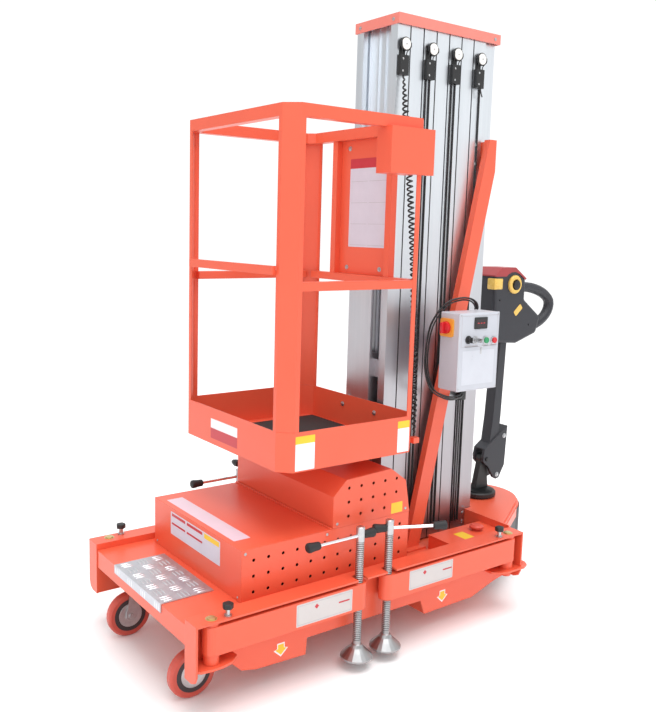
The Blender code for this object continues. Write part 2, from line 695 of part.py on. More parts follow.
def cable_guides():
    """On each section: a small plate with a pulley and under it a clamp with the section's cables."""
    face = SECTION_HALF_WIDTH + SEAT_GAP
    for number, pulley_y, clamp_y, strands in GUIDE_ROWS:
        plate = box("plate", (face, clamp_y - 0.012, CLAMP_BOTTOM + 0.002),
                    (face + GUIDE_SHEET, clamp_y + 0.012, PULLEY_Z + 0.010))
        pulley = turned("pulley", (face + GUIDE_SHEET / 2, pulley_y, PULLEY_Z), (1, 0, 0), [
            (0, 0.008), (0.0035, 0.008), (0.004, PULLEY_RADIUS), (PULLEY_OUTER_X - face - GUIDE_SHEET / 2, PULLEY_RADIUS)])
        clamp = box("clamp", (face, clamp_y - CLAMP_HALF, CLAMP_BOTTOM), (CLAMP_OUTER_X, clamp_y + CLAMP_HALF, CLAMP_TOP))
        guide = fuse(plate, pulley, clamp)
        x = face + STRAND_RADIUS
        for offset in strands:
            y = clamp_y + offset
            guide = fuse(guide, rod("strand", (x, y, STRAND_END_Z), (x, y, CLAMP_BOTTOM + 0.010), STRAND_RADIUS, 8))
        dress(guide, "black_plastic", f"cable_guide_{number}")


def coil_cord():
    """Outer form of the coiled lead from the front clamp down to the basket."""
    route = smooth_route(COIL_ROUTE, 8)
    dress(tube_along("coil", route, COIL_RADIUS, 3), "black_rubber", "coil_cord", True)


def basket_plan(inset):
    """Basket outline from above, its four corners chamfered."""
    half = BASKET_HALF_WIDTH - inset
    front = BASKET_FRONT_Y + inset
    rear = BASKET_REAR_Y - inset
    corner = BASKET_CHAMFER - 0.586 * inset
    return [(-half, rear - corner), (-half, front + corner), (-half + corner, front), (half - corner, front),
            (half, front + corner), (half, rear - corner), (half - corner, rear), (-half + corner, rear)]


def basket_pan():
    """Floor pan with its upstand walls, and the small block at its back where the coiled lead ends."""
    pan = prism("pan", basket_plan(0), "z", PAN_BOTTOM, PAN_TOP)
    room = prism("room", basket_plan(PAN_SHEET), "z", PAN_FLOOR, PAN_TOP + 0.01)
    pan = cut(pan, room)
    end_x, end_y, end_z = COIL_ROUTE[-1]
    boss = box("boss", (end_x - BOSS_HALF, end_y - BOSS_HALF, end_z - 0.020),
               (end_x + BOSS_HALF, end_y + BOSS_HALF, end_z - 0.002))
    stem = box("stem", (end_x - BOSS_HALF, BASKET_REAR_Y - 0.012, end_z - 0.019),
               (end_x - 0.002, end_y, end_z - 0.004))
    room = prism("room", basket_plan(PAN_SHEET / 2), "z", end_z - 0.1, PAN_TOP + 0.01)
    dress(fuse(pan, cut(fuse(boss, stem), room)), "orange_paint", "basket_pan")


def band(inset, depth, low, high):
    """Level band that follows the basket's plan."""
    ring = prism("ring", basket_plan(inset), "z", low, high)
    middle = prism("middle", basket_plan(inset + depth), "z", low - 0.01, high + 0.01)
    return cut(ring, middle)


def basket_frame():
    """Welded guard rail: folded corner posts, top rail, mid rails, uprights and the control bracket."""
    frame = band(0, RAIL_THICKNESS, TOP_RAIL_BOTTOM, TOP_RAIL_TOP)
    half = BASKET_HALF_WIDTH
    corner = BASKET_CHAMFER
    sheet = POST_SHEET
    wing = POST_WING
    bend = corner - 0.586 * sheet
    base = PAN_TOP + SEAT_GAP
    for edge_y, inward in ((BASKET_FRONT_Y, 1), (BASKET_REAR_Y, -1)):
        for side in (-1, 1):
            post = prism("post", [
                (side * half, edge_y + inward * (corner + wing)),
                (side * half, edge_y + inward * corner),
                (side * (half - corner), edge_y),
                (side * (half - corner - wing), edge_y),
                (side * (half - corner - wing), edge_y + inward * sheet),
                (side * (half - sheet - bend), edge_y + inward * sheet),
                (side * (half - sheet), edge_y + inward * (sheet + bend)),
                (side * (half - sheet), edge_y + inward * (corner + wing)),
            ], "z", base, TOP_RAIL_TOP - 0.002)
            frame = fuse(frame, post)
    deep = RAIL_THICKNESS
    low, high = MID_RAIL_BOTTOM, MID_RAIL_TOP
    for side in (-1, 1):
        x = sorted((side * (half - 0.0005), side * (half - deep)))
        rail = box("rail", (x[0], BASKET_FRONT_Y + corner + 0.004, low), (x[1], BASKET_REAR_Y - corner - 0.004, high))
        x = side * UPRIGHT_X
        upright = box("upright", (x - UPRIGHT_HALF, BASKET_REAR_Y - 0.025, high - 0.010),
                      (x + UPRIGHT_HALF, BASKET_REAR_Y - 0.0005, TOP_RAIL_BOTTOM + 0.010))
        frame = fuse(frame, rail, upright)
    rear = box("rail", (-half + corner + 0.004, BASKET_REAR_Y - deep, low), (half - corner - 0.004, BASKET_REAR_Y - 0.0005, high))
    top = TOP_RAIL_BOTTOM + 0.002
    bracket = prism("bracket", [
        (BRACKET_INNER_X, BRACKET_FRONT_Y), (BRACKET_OUTER_X, BRACKET_FRONT_Y), (BRACKET_OUTER_X, BRACKET_REAR_Y),
        (half - 0.001, BRACKET_REAR_Y), (half - 0.001, BRACKET_REAR_Y - 0.055), (BRACKET_INNER_X, BRACKET_REAR_Y - 0.055),
    ], "z", BRACKET_BOTTOM, top)
    dress(fuse(frame, rear, bracket), "orange_paint", "basket_frame")


def basket_fittings():
    """Panel between the rear uprights, and the anti-slip mat."""
    gap = UPRIGHT_X - UPRIGHT_HALF - SEAT_GAP
    panel = box("panel", (-gap, BASKET_REAR_Y - PANEL_SHEET - 0.001, MID_RAIL_TOP + SEAT_GAP),
                (gap, BASKET_REAR_Y - 0.001, PANEL_TOP))
    dress(panel, "orange_paint", "rear_panel")
    mat = box("mat", (-MAT_HALF_WIDTH, MAT_FRONT_Y, PAN_FLOOR + SEAT_GAP),
              (MAT_HALF_WIDTH, MAT_REAR_Y, PAN_FLOOR + SEAT_GAP + MAT_SHEET))
    dress(mat, "black_rubber", "floor_mat")


def entry_bar():
    """Sliding bar that closes the basket's front."""
    y = BASKET_FRONT_Y - SEAT_GAP
    bar = box("bar", (ENTRY_BAR_LEFT, y - ENTRY_BAR_SHEET, ENTRY_BAR_BOTTOM), (ENTRY_BAR_RIGHT, y, ENTRY_BAR_TOP))
    dress(bar, "orange_paint", "entry_bar")


def carriage():
    """Two plates behind the basket on a flat bar, with the roller block that runs in the front section."""
    front = BASKET_REAR_Y + SEAT_GAP
    half = CARRIAGE_HALF_WIDTH
    plate = box("plate", (-half, front, LOWER_PLATE[0]), (half, CARRIAGE_BACK_Y, LOWER_PLATE[1]))
    upper = box("plate", (-half, front, UPPER_PLATE[0]), (half, CARRIAGE_BACK_Y, UPPER_PLATE[1]))
    bar = box("bar", (-ROLLER_HALF_WIDTH, front + 0.001, LOWER_PLATE[0] + 0.001),
              (ROLLER_HALF_WIDTH, CARRIAGE_BACK_Y - 0.001, UPPER_PLATE[1] - 0.001))
    block = box("block", (-ROLLER_HALF_WIDTH, CARRIAGE_BACK_Y - 0.004, ROLLER_BLOCK[0]),
                (ROLLER_HALF_WIDTH, ROLLER_BACK_Y, ROLLER_BLOCK[1]))
    pads = []
    for low in (ROLLER_BLOCK[0] + 0.020, ROLLER_BLOCK[1] - 0.080):
        pads.append(box("pad", (-PAD_HALF_WIDTH, MAST_FRONT_Y + 0.002, low),
                        (PAD_HALF_WIDTH, ROLLER_BACK_Y - 0.002, low + PAD_HEIGHT)))
    dress(fuse(plate, upper, bar, block, *pads), "anodised_aluminium", "carriage")


def outriggers():
    """Swing arms with a screw jack near their tips, stowed along the side frames."""
    # corner, pivot y, jack y, T-bar direction, reach of its long and its short end
    rows = (
        ("front", FRONT_PIVOT_Y, FRONT_JACK_Y, (0.0, -1.0), 0.187, 0.045),
        ("rear", REAR_PIVOT_Y, REAR_JACK_Y, (0.400, 0.916), 0.176, 0.045),
    )
    half = ARM_HALF_WIDTH
    for corner, pivot_y, jack_y, direction, long_end, short_end in rows:
        pivot_end = arc((PIVOT_X, pivot_y), half, 180, 360, 10)
        jack_end = arc((PIVOT_X, jack_y), half, 0, 180, 10)
        if jack_y < pivot_y:
            pivot_end = arc((PIVOT_X, pivot_y), half, 0, 180, 10)
            jack_end = arc((PIVOT_X, jack_y), half, 180, 360, 10)
        arm = prism("arm", pivot_end + jack_end, "z", ARM_BOTTOM, ARM_TOP)
        boss = rod("boss", (PIVOT_X, pivot_y, EAR_TOP + SEAT_GAP), (PIVOT_X, pivot_y, FLANGE_TOP - PLATE - SEAT_GAP),
                   ARM_BOSS_RADIUS, 20)
        bore = rod("bore", (PIVOT_X, pivot_y, EAR_TOP - 0.01), (PIVOT_X, pivot_y, FLANGE_TOP),
                   PIN_RADIUS + BORE_GAP, 16)
        thread = rod("thread", (JACK_X, jack_y, ARM_BOTTOM - 0.02), (JACK_X, jack_y, ARM_TOP + 0.01),
                     SCREW_RADIUS + 0.001, 20)
        arm = cut(fuse(arm, boss), bore, thread)
        both_sides(arm, f"outrigger_arm_{corner}", "orange_paint", True, (PIVOT_X, pivot_y, ARM_BOTTOM))

        jack = turned("jack", (JACK_X, jack_y, FOOT_BOTTOM), (0, 0, 1), [
            (0, FOOT_RADIUS - 0.003), (0.003, FOOT_RADIUS), (0.008, FOOT_RADIUS), (0.025, 0.032), (0.035, 0.021),
            (0.044, 0.016), (0.046, SCREW_RADIUS), (SCREW_TOP - FOOT_BOTTOM, SCREW_RADIUS)], 20)
        along = Vector((*direction, 0)).normalized()
        middle = Vector((JACK_X, jack_y, BAR_Z))
        jack = fuse(
            jack,
            rod("bar", middle - along * short_end, middle + along * long_end, BAR_RADIUS, 10),
            rod("grip", middle + along * (long_end - GRIP_LENGTH), middle + along * (long_end + 0.003), GRIP_RADIUS, 10),
            rod("grip", middle - along * (short_end - 0.014), middle - along * (short_end + 0.003), GRIP_RADIUS, 10),
        )
        both_sides(jack, f"jack_{corner}", "zinc_steel", True, (JACK_X, jack_y, FOOT_BOTTOM))


def casters():
    """Swivelling front wheels, parked with the wheel ahead of the swivel."""
    wheel_y = CASTER_Y - CASTER_TRAIL
    leg = CASTER_HALF_WIDTH + 0.003
    race = turned("race", (CASTER_X, CASTER_Y, CASTER_TOP), (0, 0, -1),
                  [(0, 0.032), (0.008, 0.032), (0.010, 0.026), (0.016, 0.026), (0.018, 0.030), (0.026, 0.030)])
    crown_low = CASTER_TOP - 0.028
    crown = box("crown", (CASTER_X - leg - 0.004, CASTER_Y - 0.030, crown_low),
                (CASTER_X + leg + 0.004, CASTER_Y + 0.026, crown_low + 0.006))
    outline = ([(CASTER_Y + 0.026, crown_low + 0.004), (CASTER_Y - 0.030, crown_low + 0.004)]
               + arc((wheel_y, CASTER_RADIUS), 0.016, 170, 350, 6))
    legs = []
    for side in (-1, 1):
        x = sorted((CASTER_X + side * leg, CASTER_X + side * (leg + 0.004)))
        legs.append(prism("leg", outline, "x", x[0], x[1]))
    axle = rod("axle", (CASTER_X - leg - 0.009, wheel_y, CASTER_RADIUS),
               (CASTER_X + leg + 0.009, wheel_y, CASTER_RADIUS), CASTER_AXLE)
    both_sides(fuse(race, crown, *legs, axle), "caster_fork", "zinc_steel", True, (CASTER_X, CASTER_Y, CASTER_TOP))
    width = 2 * CASTER_HALF_WIDTH
    wheel = turned("wheel", (CASTER_X - CASTER_HALF_WIDTH, wheel_y, CASTER_RADIUS), (1, 0, 0), [
        (0, CASTER_RADIUS - 0.007), (0.003, CASTER_RADIUS - 0.002), (0.007, CASTER_RADIUS),
        (width - 0.007, CASTER_RADIUS), (width - 0.003, CASTER_RADIUS - 0.002), (width, CASTER_RADIUS - 0.007)], 36)
    bore = rod("bore", (CASTER_X - 0.05, wheel_y, CASTER_RADIUS), (CASTER_X + 0.05, wheel_y, CASTER_RADIUS),
               CASTER_AXLE + BORE_GAP)
    both_sides(cut(wheel, bore), "caster_wheel", "red_urethane", True, (CASTER_X, wheel_y, CASTER_RADIUS))


def drive_plan(inset, front_y):
    """Drive cover seen from above: wide at the chassis, round at the tail."""
    radius = COVER_TAIL_RADIUS - inset
    base_x = COVER_BASE_X - inset
    reach = math.hypot(base_x, STEER_Y - front_y)
    lean = math.degrees(math.atan2(front_y - STEER_Y, base_x) + math.acos(radius / reach))
    return [(base_x, front_y)] + arc((0, STEER_Y), radius, lean, 180 - lean, 14) + [(-base_x, front_y)]


def drive_cover():
    """Rounded cover of the drive wheel, and the bumper band that wraps its tail."""
    front = FRAME_REAR_Y + SEAT_GAP
    wall = DRIVE_COVER_WALL
    top = DRIVE_COVER_TOP
    cover = prism("cover", drive_plan(0, front), "z", DRIVE_COVER_BOTTOM, top - 0.020)
    shoulder = prism("shoulder", drive_plan(0.003, front), "z", top - 0.022, top - 0.010)
    crown = prism("crown", drive_plan(0.010, front), "z", top - 0.012, top)
    cover = fuse(cover, shoulder, crown)
    room = prism("room", drive_plan(wall + 0.010, front - 0.01), "z", DRIVE_COVER_BOTTOM - 0.01, top - wall)
    hole = rod("hole", (0, STEER_Y, 0.2), (0, STEER_Y, 0.4), MOTOR_RADIUS + RUN_GAP, 28)
    tail = box("tail", (-0.4, BUMPER_FRONT_Y, 0.0), (0.4, 1.0, BUMPER_TOP + SEAT_GAP))
    gate = box("gate", (-MAST_GATE, 0.3, TRAY_FLOOR - 0.005), (MAST_GATE, mast_rear() + RUN_GAP, 0.4))
    dress(cut(cover, room, hole, tail, gate), "orange_paint", "drive_cover")

    bumper = prism("bumper", drive_plan(0, front), "z", DRIVE_COVER_BOTTOM - 0.004, BUMPER_TOP)
    room = prism("room", drive_plan(wall + 0.010, front - 0.01), "z", 0.0, 0.4)
    ahead = box("ahead", (-0.4, 0.0, 0.0), (0.4, BUMPER_FRONT_Y + SEAT_GAP, 0.4))
    dress(cut(bumper, room, ahead), "charcoal_plastic", "bumper")


def drive_head():
    """Steered head: fork, column, motor can and collar with the tiller's lug; and the drive wheel."""
    low = 2 * DRIVE_RADIUS + RUN_GAP
    leg = DRIVE_HALF_WIDTH + 0.010
    bridge = box("bridge", (-leg - 0.010, STEER_Y - 0.034, low), (leg + 0.010, STEER_Y + 0.034, low + 0.010))
    column = rod("column", (0, STEER_Y, low + 0.005), (0, STEER_Y, 0.250), COLUMN_RADIUS, 24)
    motor = turned("motor", (0, STEER_Y, TONGUE_TOP + RUN_GAP), (0, 0, 1), [
        (0, MOTOR_RADIUS), (DRIVE_COVER_TOP + RUN_GAP - TONGUE_TOP - RUN_GAP, MOTOR_RADIUS),
        (DRIVE_COVER_TOP + RUN_GAP - TONGUE_TOP - RUN_GAP + 0.0003, COLLAR_RADIUS),
        (COLLAR_TOP - TONGUE_TOP - RUN_GAP - 0.004, COLLAR_RADIUS),
        (COLLAR_TOP - TONGUE_TOP - RUN_GAP, COLLAR_RADIUS - 0.004)], 28)
    head = fuse(bridge, column, motor)
    for side in (-1, 1):
        x = sorted((side * leg, side * (leg + 0.010)))
        outline = ([(STEER_Y + 0.030, low + 0.005), (STEER_Y - 0.030, low + 0.005)]
                   + arc((STEER_Y, DRIVE_RADIUS), 0.024, 180, 360, 8))
        head = fuse(head, prism("leg", outline, "x", x[0], x[1]))
    axle = rod("axle", (-leg - 0.012, STEER_Y, DRIVE_RADIUS), (leg + 0.012, STEER_Y, DRIVE_RADIUS), DRIVE_AXLE, 16)
    lug = prism("lug", [(0.505, COLLAR_TOP - 0.003), (0.578, COLLAR_TOP - 0.003)]
                + arc((TILT_Y, TILT_Z), 0.018, -30, 210, 10), "x", -LUG_HALF, LUG_HALF)
    pin = rod("pin", (-FORK_HALF - 0.004, TILT_Y, TILT_Z), (FORK_HALF + 0.004, TILT_Y, TILT_Z), 0.007)
    head = fuse(head, axle, lug, pin)
    dress(head, "black_plastic", "steer_head", True, (0, STEER_Y, DRIVE_RADIUS))
    width = 2 * DRIVE_HALF_WIDTH
    wheel = turned("wheel", (-DRIVE_HALF_WIDTH, STEER_Y, DRIVE_RADIUS), (1, 0, 0), [
        (0, DRIVE_RADIUS - 0.005), (0.005, DRIVE_RADIUS), (width - 0.005, DRIVE_RADIUS), (width, DRIVE_RADIUS - 0.005)], 40)
    bore = rod("bore", (-0.1, STEER_Y, DRIVE_RADIUS), (0.1, STEER_Y, DRIVE_RADIUS), DRIVE_AXLE + BORE_GAP, 16)
    dress(cut(wheel, bore), "dark_urethane", "drive_wheel", True, (0, STEER_Y, DRIVE_RADIUS))


def tiller():
    """Steering tiller: forked foot, shaft, and the moulded head with its closed grip."""
    foot = prism("foot", [
        (0.5315, 0.479), (0.5255, 0.448), (0.5275, 0.428), (0.5385, 0.417), (0.556, 0.405), (0.588, 0.358),
        (0.6035, 0.349), (0.620, 0.352), (0.6495, 0.402), (0.6565, 0.559)], "x", -FORK_HALF, FORK_HALF)
    slot = box("slot", (-LUG_HALF - RUN_GAP, 0.4, 0.3), (LUG_HALF + RUN_GAP, 0.8, 0.475))
    bore = rod("bore", (-0.1, TILT_Y, TILT_Z), (0.1, TILT_Y, TILT_Z), 0.007 + BORE_GAP)
    foot = cut(foot, slot, bore)
    shaft = prism("shaft", [(0.562, 0.495), (0.6125, 0.527), (0.6175, 0.600), (0.627, 0.895), (0.592, 0.895),
                            (0.574, 0.600)], "x", -SHAFT_HALF, SHAFT_HALF)
    head = prism("head", [
        (0.5245, 0.900), (0.5135, 1.154), (0.5495, 1.182), (0.6255, 1.182), (0.6895, 1.140), (0.6895, 1.060),
        (0.7895, 0.990), (0.7695, 0.925), (0.6565, 0.890)], "x", -HEAD_HALF, HEAD_HALF)
    head = rounded(head, 0.010)
    loop = tube_along("loop", smooth_route([
        (0, 0.670, 1.106), (0, 0.6955, 1.106), (0, 0.7745, 1.101), (0, 0.8495, 1.080), (0, 0.8945, 1.046),
        (0, 0.8885, 1.002), (0, 0.8425, 0.964), (0, 0.7775, 0.945), (0, 0.720, 0.945)], 3), LOOP_RADIUS, 3)
    dress(fuse(foot, shaft, head, loop), "charcoal_plastic", "tiller", True, (0, TILT_Y, TILT_Z))


def control_box():
    """Ground control box on its bracket beside the mast."""
    case = box("case", (BOX_INNER_X, BOX_FRONT_Y, BOX_BOTTOM), (BOX_OUTER_X, BOX_REAR_Y, BOX_TOP))
    case = rounded(case, 0.003, 1)
    y = strut_middle(0.920)
    arm = box("arm", (STRUT_OUTER_X + SEAT_GAP, y - 0.020, 0.890), (BOX_INNER_X + 0.002, y + 0.020, 0.950))
    dress(fuse(case, arm), "box_enamel", "control_box")


def control_cable():
    """Bundle from the control box, looped past its front and round the strut, then down the fixed section."""
    face = SECTION_HALF_WIDTH + SEAT_GAP
    clip_y, clip_z = CABLE_CLIP
    route = smooth_route([
        (0.235, 0.212, BOX_TOP + 0.003), (0.235, 0.210, BOX_TOP + 0.018), (0.215, 0.165, BOX_TOP + 0.040),
        (0.196, 0.105, BOX_TOP + 0.024), (0.185, 0.060, 1.010), (0.182, 0.043, 0.930), (0.182, 0.046, 0.850),
        (0.184, 0.075, 0.785), (0.180, 0.150, 0.748), (0.160, 0.225, 0.738), (0.112, clip_y, clip_z)], 3)
    cable = tube_along("cable", route, BUNDLE_RADIUS)
    clip = box("clip", (face, clip_y - 0.016, clip_z - 0.020), (face + 0.022, clip_y + 0.013, clip_z + 0.020))
    strands = []
    for y in (0.2865, 0.2985):
        x = face + STRAND_RADIUS
        strands.append(rod("strand", (x, y, STRAND_END_Z), (x, y, clip_z - 0.010), STRAND_RADIUS, 8))
    dress(fuse(cable, clip, *strands), "black_rubber", "control_cable", True)


def small_controls():
    """Emergency stop mushroom in the tray, and the release lever beside the upper cover."""
    stop = turned("stop", (WEB_INNER - 0.079, 0.2845, DECK_TOP + SEAT_GAP), (0, 0, 1), [
        (0, 0.016), (0.004, 0.016), (0.0045, 0.012), (0.009, 0.012), (0.0095, 0.025), (0.015, 0.025), (0.020, 0.015)])
    dress(stop, "red_plastic", "stop_button", True)
    lever = turned("lever", (-COVER_HALF_WIDTH - SEAT_GAP, LEVER_Y, LEVER_Z), (-1, 0, 0), [
        (0, 0.009), (0.004, 0.009), (0.005, 0.004), (0.032, 0.004), (0.036, 0.011), (0.052, 0.013),
        (LEVER_END_X - COVER_HALF_WIDTH, 0.008)], 12)
    dress(lever, "black_plastic", "release_lever", True)


def main():
    clear_scene()
    side_frames()
    front_deck()
    step_tread()
    base_tray()
    covers()
    power_block()
    mast_sections()
    mast_cap()
    struts()
    cable_guides()
    coil_cord()
    basket_pan()
    basket_frame()
    basket_fittings()
    entry_bar()
    carriage()
    outriggers()
    casters()
    drive_cover()
    drive_head()
    tiller()
    control_box()
    control_cable()
    small_controls()


main()
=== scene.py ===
# %% [markdown]
# # A vertical mast lift, dressed for its portrait
# The machine is a nested aluminium mast on a walk-behind chassis. The rigid
# parts come ready made as a fixed frame, and this notebook gives them their
# finishes and adds what a drawing office leaves out: bolts, blank plates,
# cables, knobs, buttons, tread and thread. Each part sits in metres where the
# frame says, so nothing has to be fitted by eye.

import math

import bmesh
import bpy
from mathutils import Matrix, Vector


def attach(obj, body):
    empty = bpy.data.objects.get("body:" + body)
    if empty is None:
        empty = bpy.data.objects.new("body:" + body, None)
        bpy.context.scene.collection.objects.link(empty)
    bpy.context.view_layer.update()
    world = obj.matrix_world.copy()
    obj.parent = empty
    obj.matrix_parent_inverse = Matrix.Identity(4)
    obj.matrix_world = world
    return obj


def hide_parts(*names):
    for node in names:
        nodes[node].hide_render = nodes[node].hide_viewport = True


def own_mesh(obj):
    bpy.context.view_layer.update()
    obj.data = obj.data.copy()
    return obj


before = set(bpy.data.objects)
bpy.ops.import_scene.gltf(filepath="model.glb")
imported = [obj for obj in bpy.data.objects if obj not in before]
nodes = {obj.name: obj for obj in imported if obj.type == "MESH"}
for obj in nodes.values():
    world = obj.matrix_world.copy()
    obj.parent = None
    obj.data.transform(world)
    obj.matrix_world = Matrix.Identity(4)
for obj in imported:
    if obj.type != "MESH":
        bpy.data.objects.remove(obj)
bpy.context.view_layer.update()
put_in_scene = bpy.context.scene.collection.objects.link
MM = 0.001

# %% [markdown]
# ## Camera
# The portrait is taken from the front right, a little above the mid rail, with
# a short telephoto. The camera could be moved about by hand until the picture
# looks right. Here a fit to known corners of the machine gave its place, the
# two angles and the small roll, so that every part lands where it should.

# %% Camera
IMAGE_W, IMAGE_H = 656, 712
# Focal length and picture centre in pixels, angles in degrees, place in metres
FOCAL_PX = 822.62
PRINCIPAL = (302.92, 344.78)
LOOK_AZIMUTH, LOOK_ELEVATION, LOOK_ROLL = 54.108, 7.894, 1.429
CAMERA_PLACE = (2.1297, -1.8746, 1.3028)
# The sensor spans the longer side of the picture, its height
SENSOR_MM = 36.0

azimuth, elevation = math.radians(LOOK_AZIMUTH), math.radians(LOOK_ELEVATION)
back = Vector((math.sin(azimuth) * math.cos(elevation), -math.cos(azimuth) * math.cos(elevation),
               math.sin(elevation)))
lens = bpy.data.cameras.new("portrait")
lens.sensor_width = SENSOR_MM
lens.lens = FOCAL_PX / IMAGE_H * SENSOR_MM
lens.shift_x = (IMAGE_W / 2 - PRINCIPAL[0]) / IMAGE_H
lens.shift_y = -(IMAGE_H / 2 - PRINCIPAL[1]) / IMAGE_H
camera = bpy.data.objects.new("portrait", lens)
camera.rotation_mode = "QUATERNION"
camera.rotation_quaternion = ((-back).to_track_quat("-Z", "Y").to_matrix()
                              @ Matrix.Rotation(math.radians(LOOK_ROLL), 3, "Z")).to_quaternion()
camera.location = CAMERA_PLACE
put_in_scene(camera)
bpy.context.scene.camera = camera


def seen_at(point):
    """Pixel of the portrait where a point of the machine comes out."""
    turn = camera.rotation_quaternion.to_matrix()
    ray = turn.transposed() @ (Vector(point) - camera.location)
    return (PRINCIPAL[0] + FOCAL_PX * ray.x / -ray.z, PRINCIPAL[1] - FOCAL_PX * ray.y / -ray.z)


# Front and rear end of the right side plate, and the front corner of the mast cap
for corner in ((0.366, -0.9145, 0.285), (0.366, 0.3665, 0.285), (0.108, -0.0685, 1.99)):
    print("seen at", [round(c, 1) for c in seen_at(corner)])

# %% [markdown]
# ## A few tools for colour and nodes
# Paint cards give colours as sRGB hex, while the renderer mixes linear light,
# so one function turns one into the other. Node trees could be drawn by hand
# in the editor, but code can be read and changed line by line. So one more
# function adds a node with its settings and its links, whatever its kind.


# %% Colour and node tools
def linear(hex_code):
    """Linear colour of an sRGB hex value, by the curve of the sRGB standard."""
    parts = [int(hex_code[i:i + 2], 16) / 255 for i in (1, 3, 5)]
    return (*[c / 12.92 if c <= 0.04045 else ((c + 0.055) / 1.055) ** 2.4 for c in parts], 1.0)


def add(tree, kind, links=None, **settings):
    """Adds a node: settings are its own fields or input names, links are inputs fed by other sockets."""
    made = tree.nodes.new(kind)
    for key, value in settings.items():
        if key in made.inputs:
            made.inputs[key].default_value = value
        elif hasattr(made, key):
            setattr(made, key, value)
        else:
            made.inputs[key.replace("_", " ")].default_value = value
    for key, socket in (links or {}).items():
        tree.links.new(socket, made.inputs[key])
    return made


FINISHES = {}


def new_finish(name, metallic=0.0, roughness=0.4, **settings):
    """An empty finish with its shader, its node tree and the machine's own coordinates."""
    made = bpy.data.materials.new(name)
    made.use_nodes = True
    tree = made.node_tree
    shader = tree.nodes["Principled BSDF"]
    shader.inputs["Metallic"].default_value = metallic
    shader.inputs["Roughness"].default_value = roughness
    for key, value in settings.items():
        shader.inputs[key.replace("_", " ")].default_value = value
    place = add(tree, "ShaderNodeTexCoord")
    FINISHES[name] = made
    return made, tree, shader, place.outputs["Object"]


def grained(name, pale, dark, grain_mm, depth_mm, patch_mm=120.0, stretch=(1, 1, 1), rough_swing=0.08,
            eased_mm=0.0, **shader_settings):
    """A finish whose colour drifts between two tones, with a fine grain in its surface.

    grain_mm is the size of one grain, depth_mm its height, patch_mm the size of a tone's patch, and
    eased_mm the radius of the bends that catch a line of light.
    """
    made, tree, shader, place = new_finish(name, **shader_settings)
    sized = add(tree, "ShaderNodeMapping", {"Vector": place}, Scale=stretch)
    patches = add(tree, "ShaderNodeTexNoise", {"Vector": sized.outputs["Vector"]},
                  Scale=1000.0 / patch_mm, Detail=4.0, Roughness=0.6)
    tone = add(tree, "ShaderNodeMix", {"Factor": patches.outputs["Fac"]}, data_type="RGBA",
               A=linear(dark), B=linear(pale))
    tree.links.new(tone.outputs["Result"], shader.inputs["Base Color"])
    grain = add(tree, "ShaderNodeTexNoise", {"Vector": sized.outputs["Vector"]},
                Scale=1000.0 / grain_mm, Detail=2.0)
    bump = add(tree, "ShaderNodeBump", {"Height": grain.outputs["Fac"]}, Strength=0.6, Distance=depth_mm * MM)
    if eased_mm:
        bend = add(tree, "ShaderNodeBevel", samples=4, Radius=eased_mm * MM)
        tree.links.new(bend.outputs["Normal"], bump.inputs["Normal"])
    tree.links.new(bump.outputs["Normal"], shader.inputs["Normal"])
    base = shader.inputs["Roughness"].default_value
    gloss = add(tree, "ShaderNodeMapRange", {"Value": patches.outputs["Fac"]},
                To_Min=max(0.05, base - rough_swing), To_Max=base + rough_swing)
    tree.links.new(gloss.outputs["Result"], shader.inputs["Roughness"])
    return made


# %% [markdown]
# ## Finishes
# Most of the machine is folded steel sheet in polyester powder coat: a satin
# orange-red with the faint orange peel that the powder leaves when it flows
# out in the oven, about 2 mm from dimple to dimple. The mast is extruded and
# anodised, so it keeps fine die lines along its length and never shines like
# polished metal. The rest is zinc plate, rubber, cast urethane and moulded
# plastic. Pictures of such surfaces could be wrapped on, but noise nodes with
# their grain in real millimetres hold at any distance and on any shape.


# %% Powder coats
def powder_coat(name, pale, dark):
    """Orange peel of 2 mm, and a thin clear-looking skin that catches the soft boxes."""
    return grained(name, pale, dark, grain_mm=2.2, depth_mm=0.05, patch_mm=260, roughness=0.36, rough_swing=0.05,
                   eased_mm=2.0, Coat_Weight=0.15, Coat_Roughness=0.25, Specular_IOR_Level=0.45)


powder_coat("orange powder coat", "#E96144", "#E0593D")
# The cap on the mast has bleached in the sun
powder_coat("pale orange powder coat", "#E8867A", "#DE7A6D")
# The control box has the same coat in a cool grey
powder_coat("light grey enamel", "#C3C6CE", "#B8BBC4")
print("powder coats:", len(FINISHES))

# %% Metals
# Extruded and anodised: die lines 1.2 mm apart and only 0.01 mm deep, drawn out along the mast, give a silky
# sheen along the extrusion, not grooves
mast_finish = grained("anodised aluminium extrusion", "#F2F7FC", "#DEE4EA", grain_mm=1.2, depth_mm=0.010,
                      patch_mm=26, stretch=(1.0, 1.0, 0.004), rough_swing=0.06, metallic=1.0, roughness=0.36)
# Painted shade: the colour turns darker and warmer towards the foot, standing in for the dimmer reflection low on the
# mast
SHADED_BELOW_Z, UNSHADED_ABOVE_Z = 0.35, 1.75
tree = mast_finish.node_tree
shader = tree.nodes["Principled BSDF"]
height = add(tree, "ShaderNodeSeparateXYZ", {"Vector": tree.nodes["Texture Coordinate"].outputs["Object"]})
unshaded = add(tree, "ShaderNodeMapRange", {"Value": height.outputs["Z"]}, interpolation_type="SMOOTHSTEP",
            From_Min=SHADED_BELOW_Z, From_Max=UNSHADED_ABOVE_Z)
# Painted shade: warm grey at the foot, white higher up, multiplied into the tone
painted_shade = add(tree, "ShaderNodeMix", {"Factor": unshaded.outputs["Result"]}, data_type="RGBA",
            A=linear("#BCB2B2"), B=linear("#FFFFFF"))
shaded_tone = add(tree, "ShaderNodeMix", data_type="RGBA", blend_type="MULTIPLY", Factor=1.0)
tree.links.new(shader.inputs["Base Color"].links[0].from_socket, shaded_tone.inputs["A"])
tree.links.new(painted_shade.outputs["Result"], shaded_tone.inputs["B"])
tree.links.new(shaded_tone.outputs["Result"], shader.inputs["Base Color"])
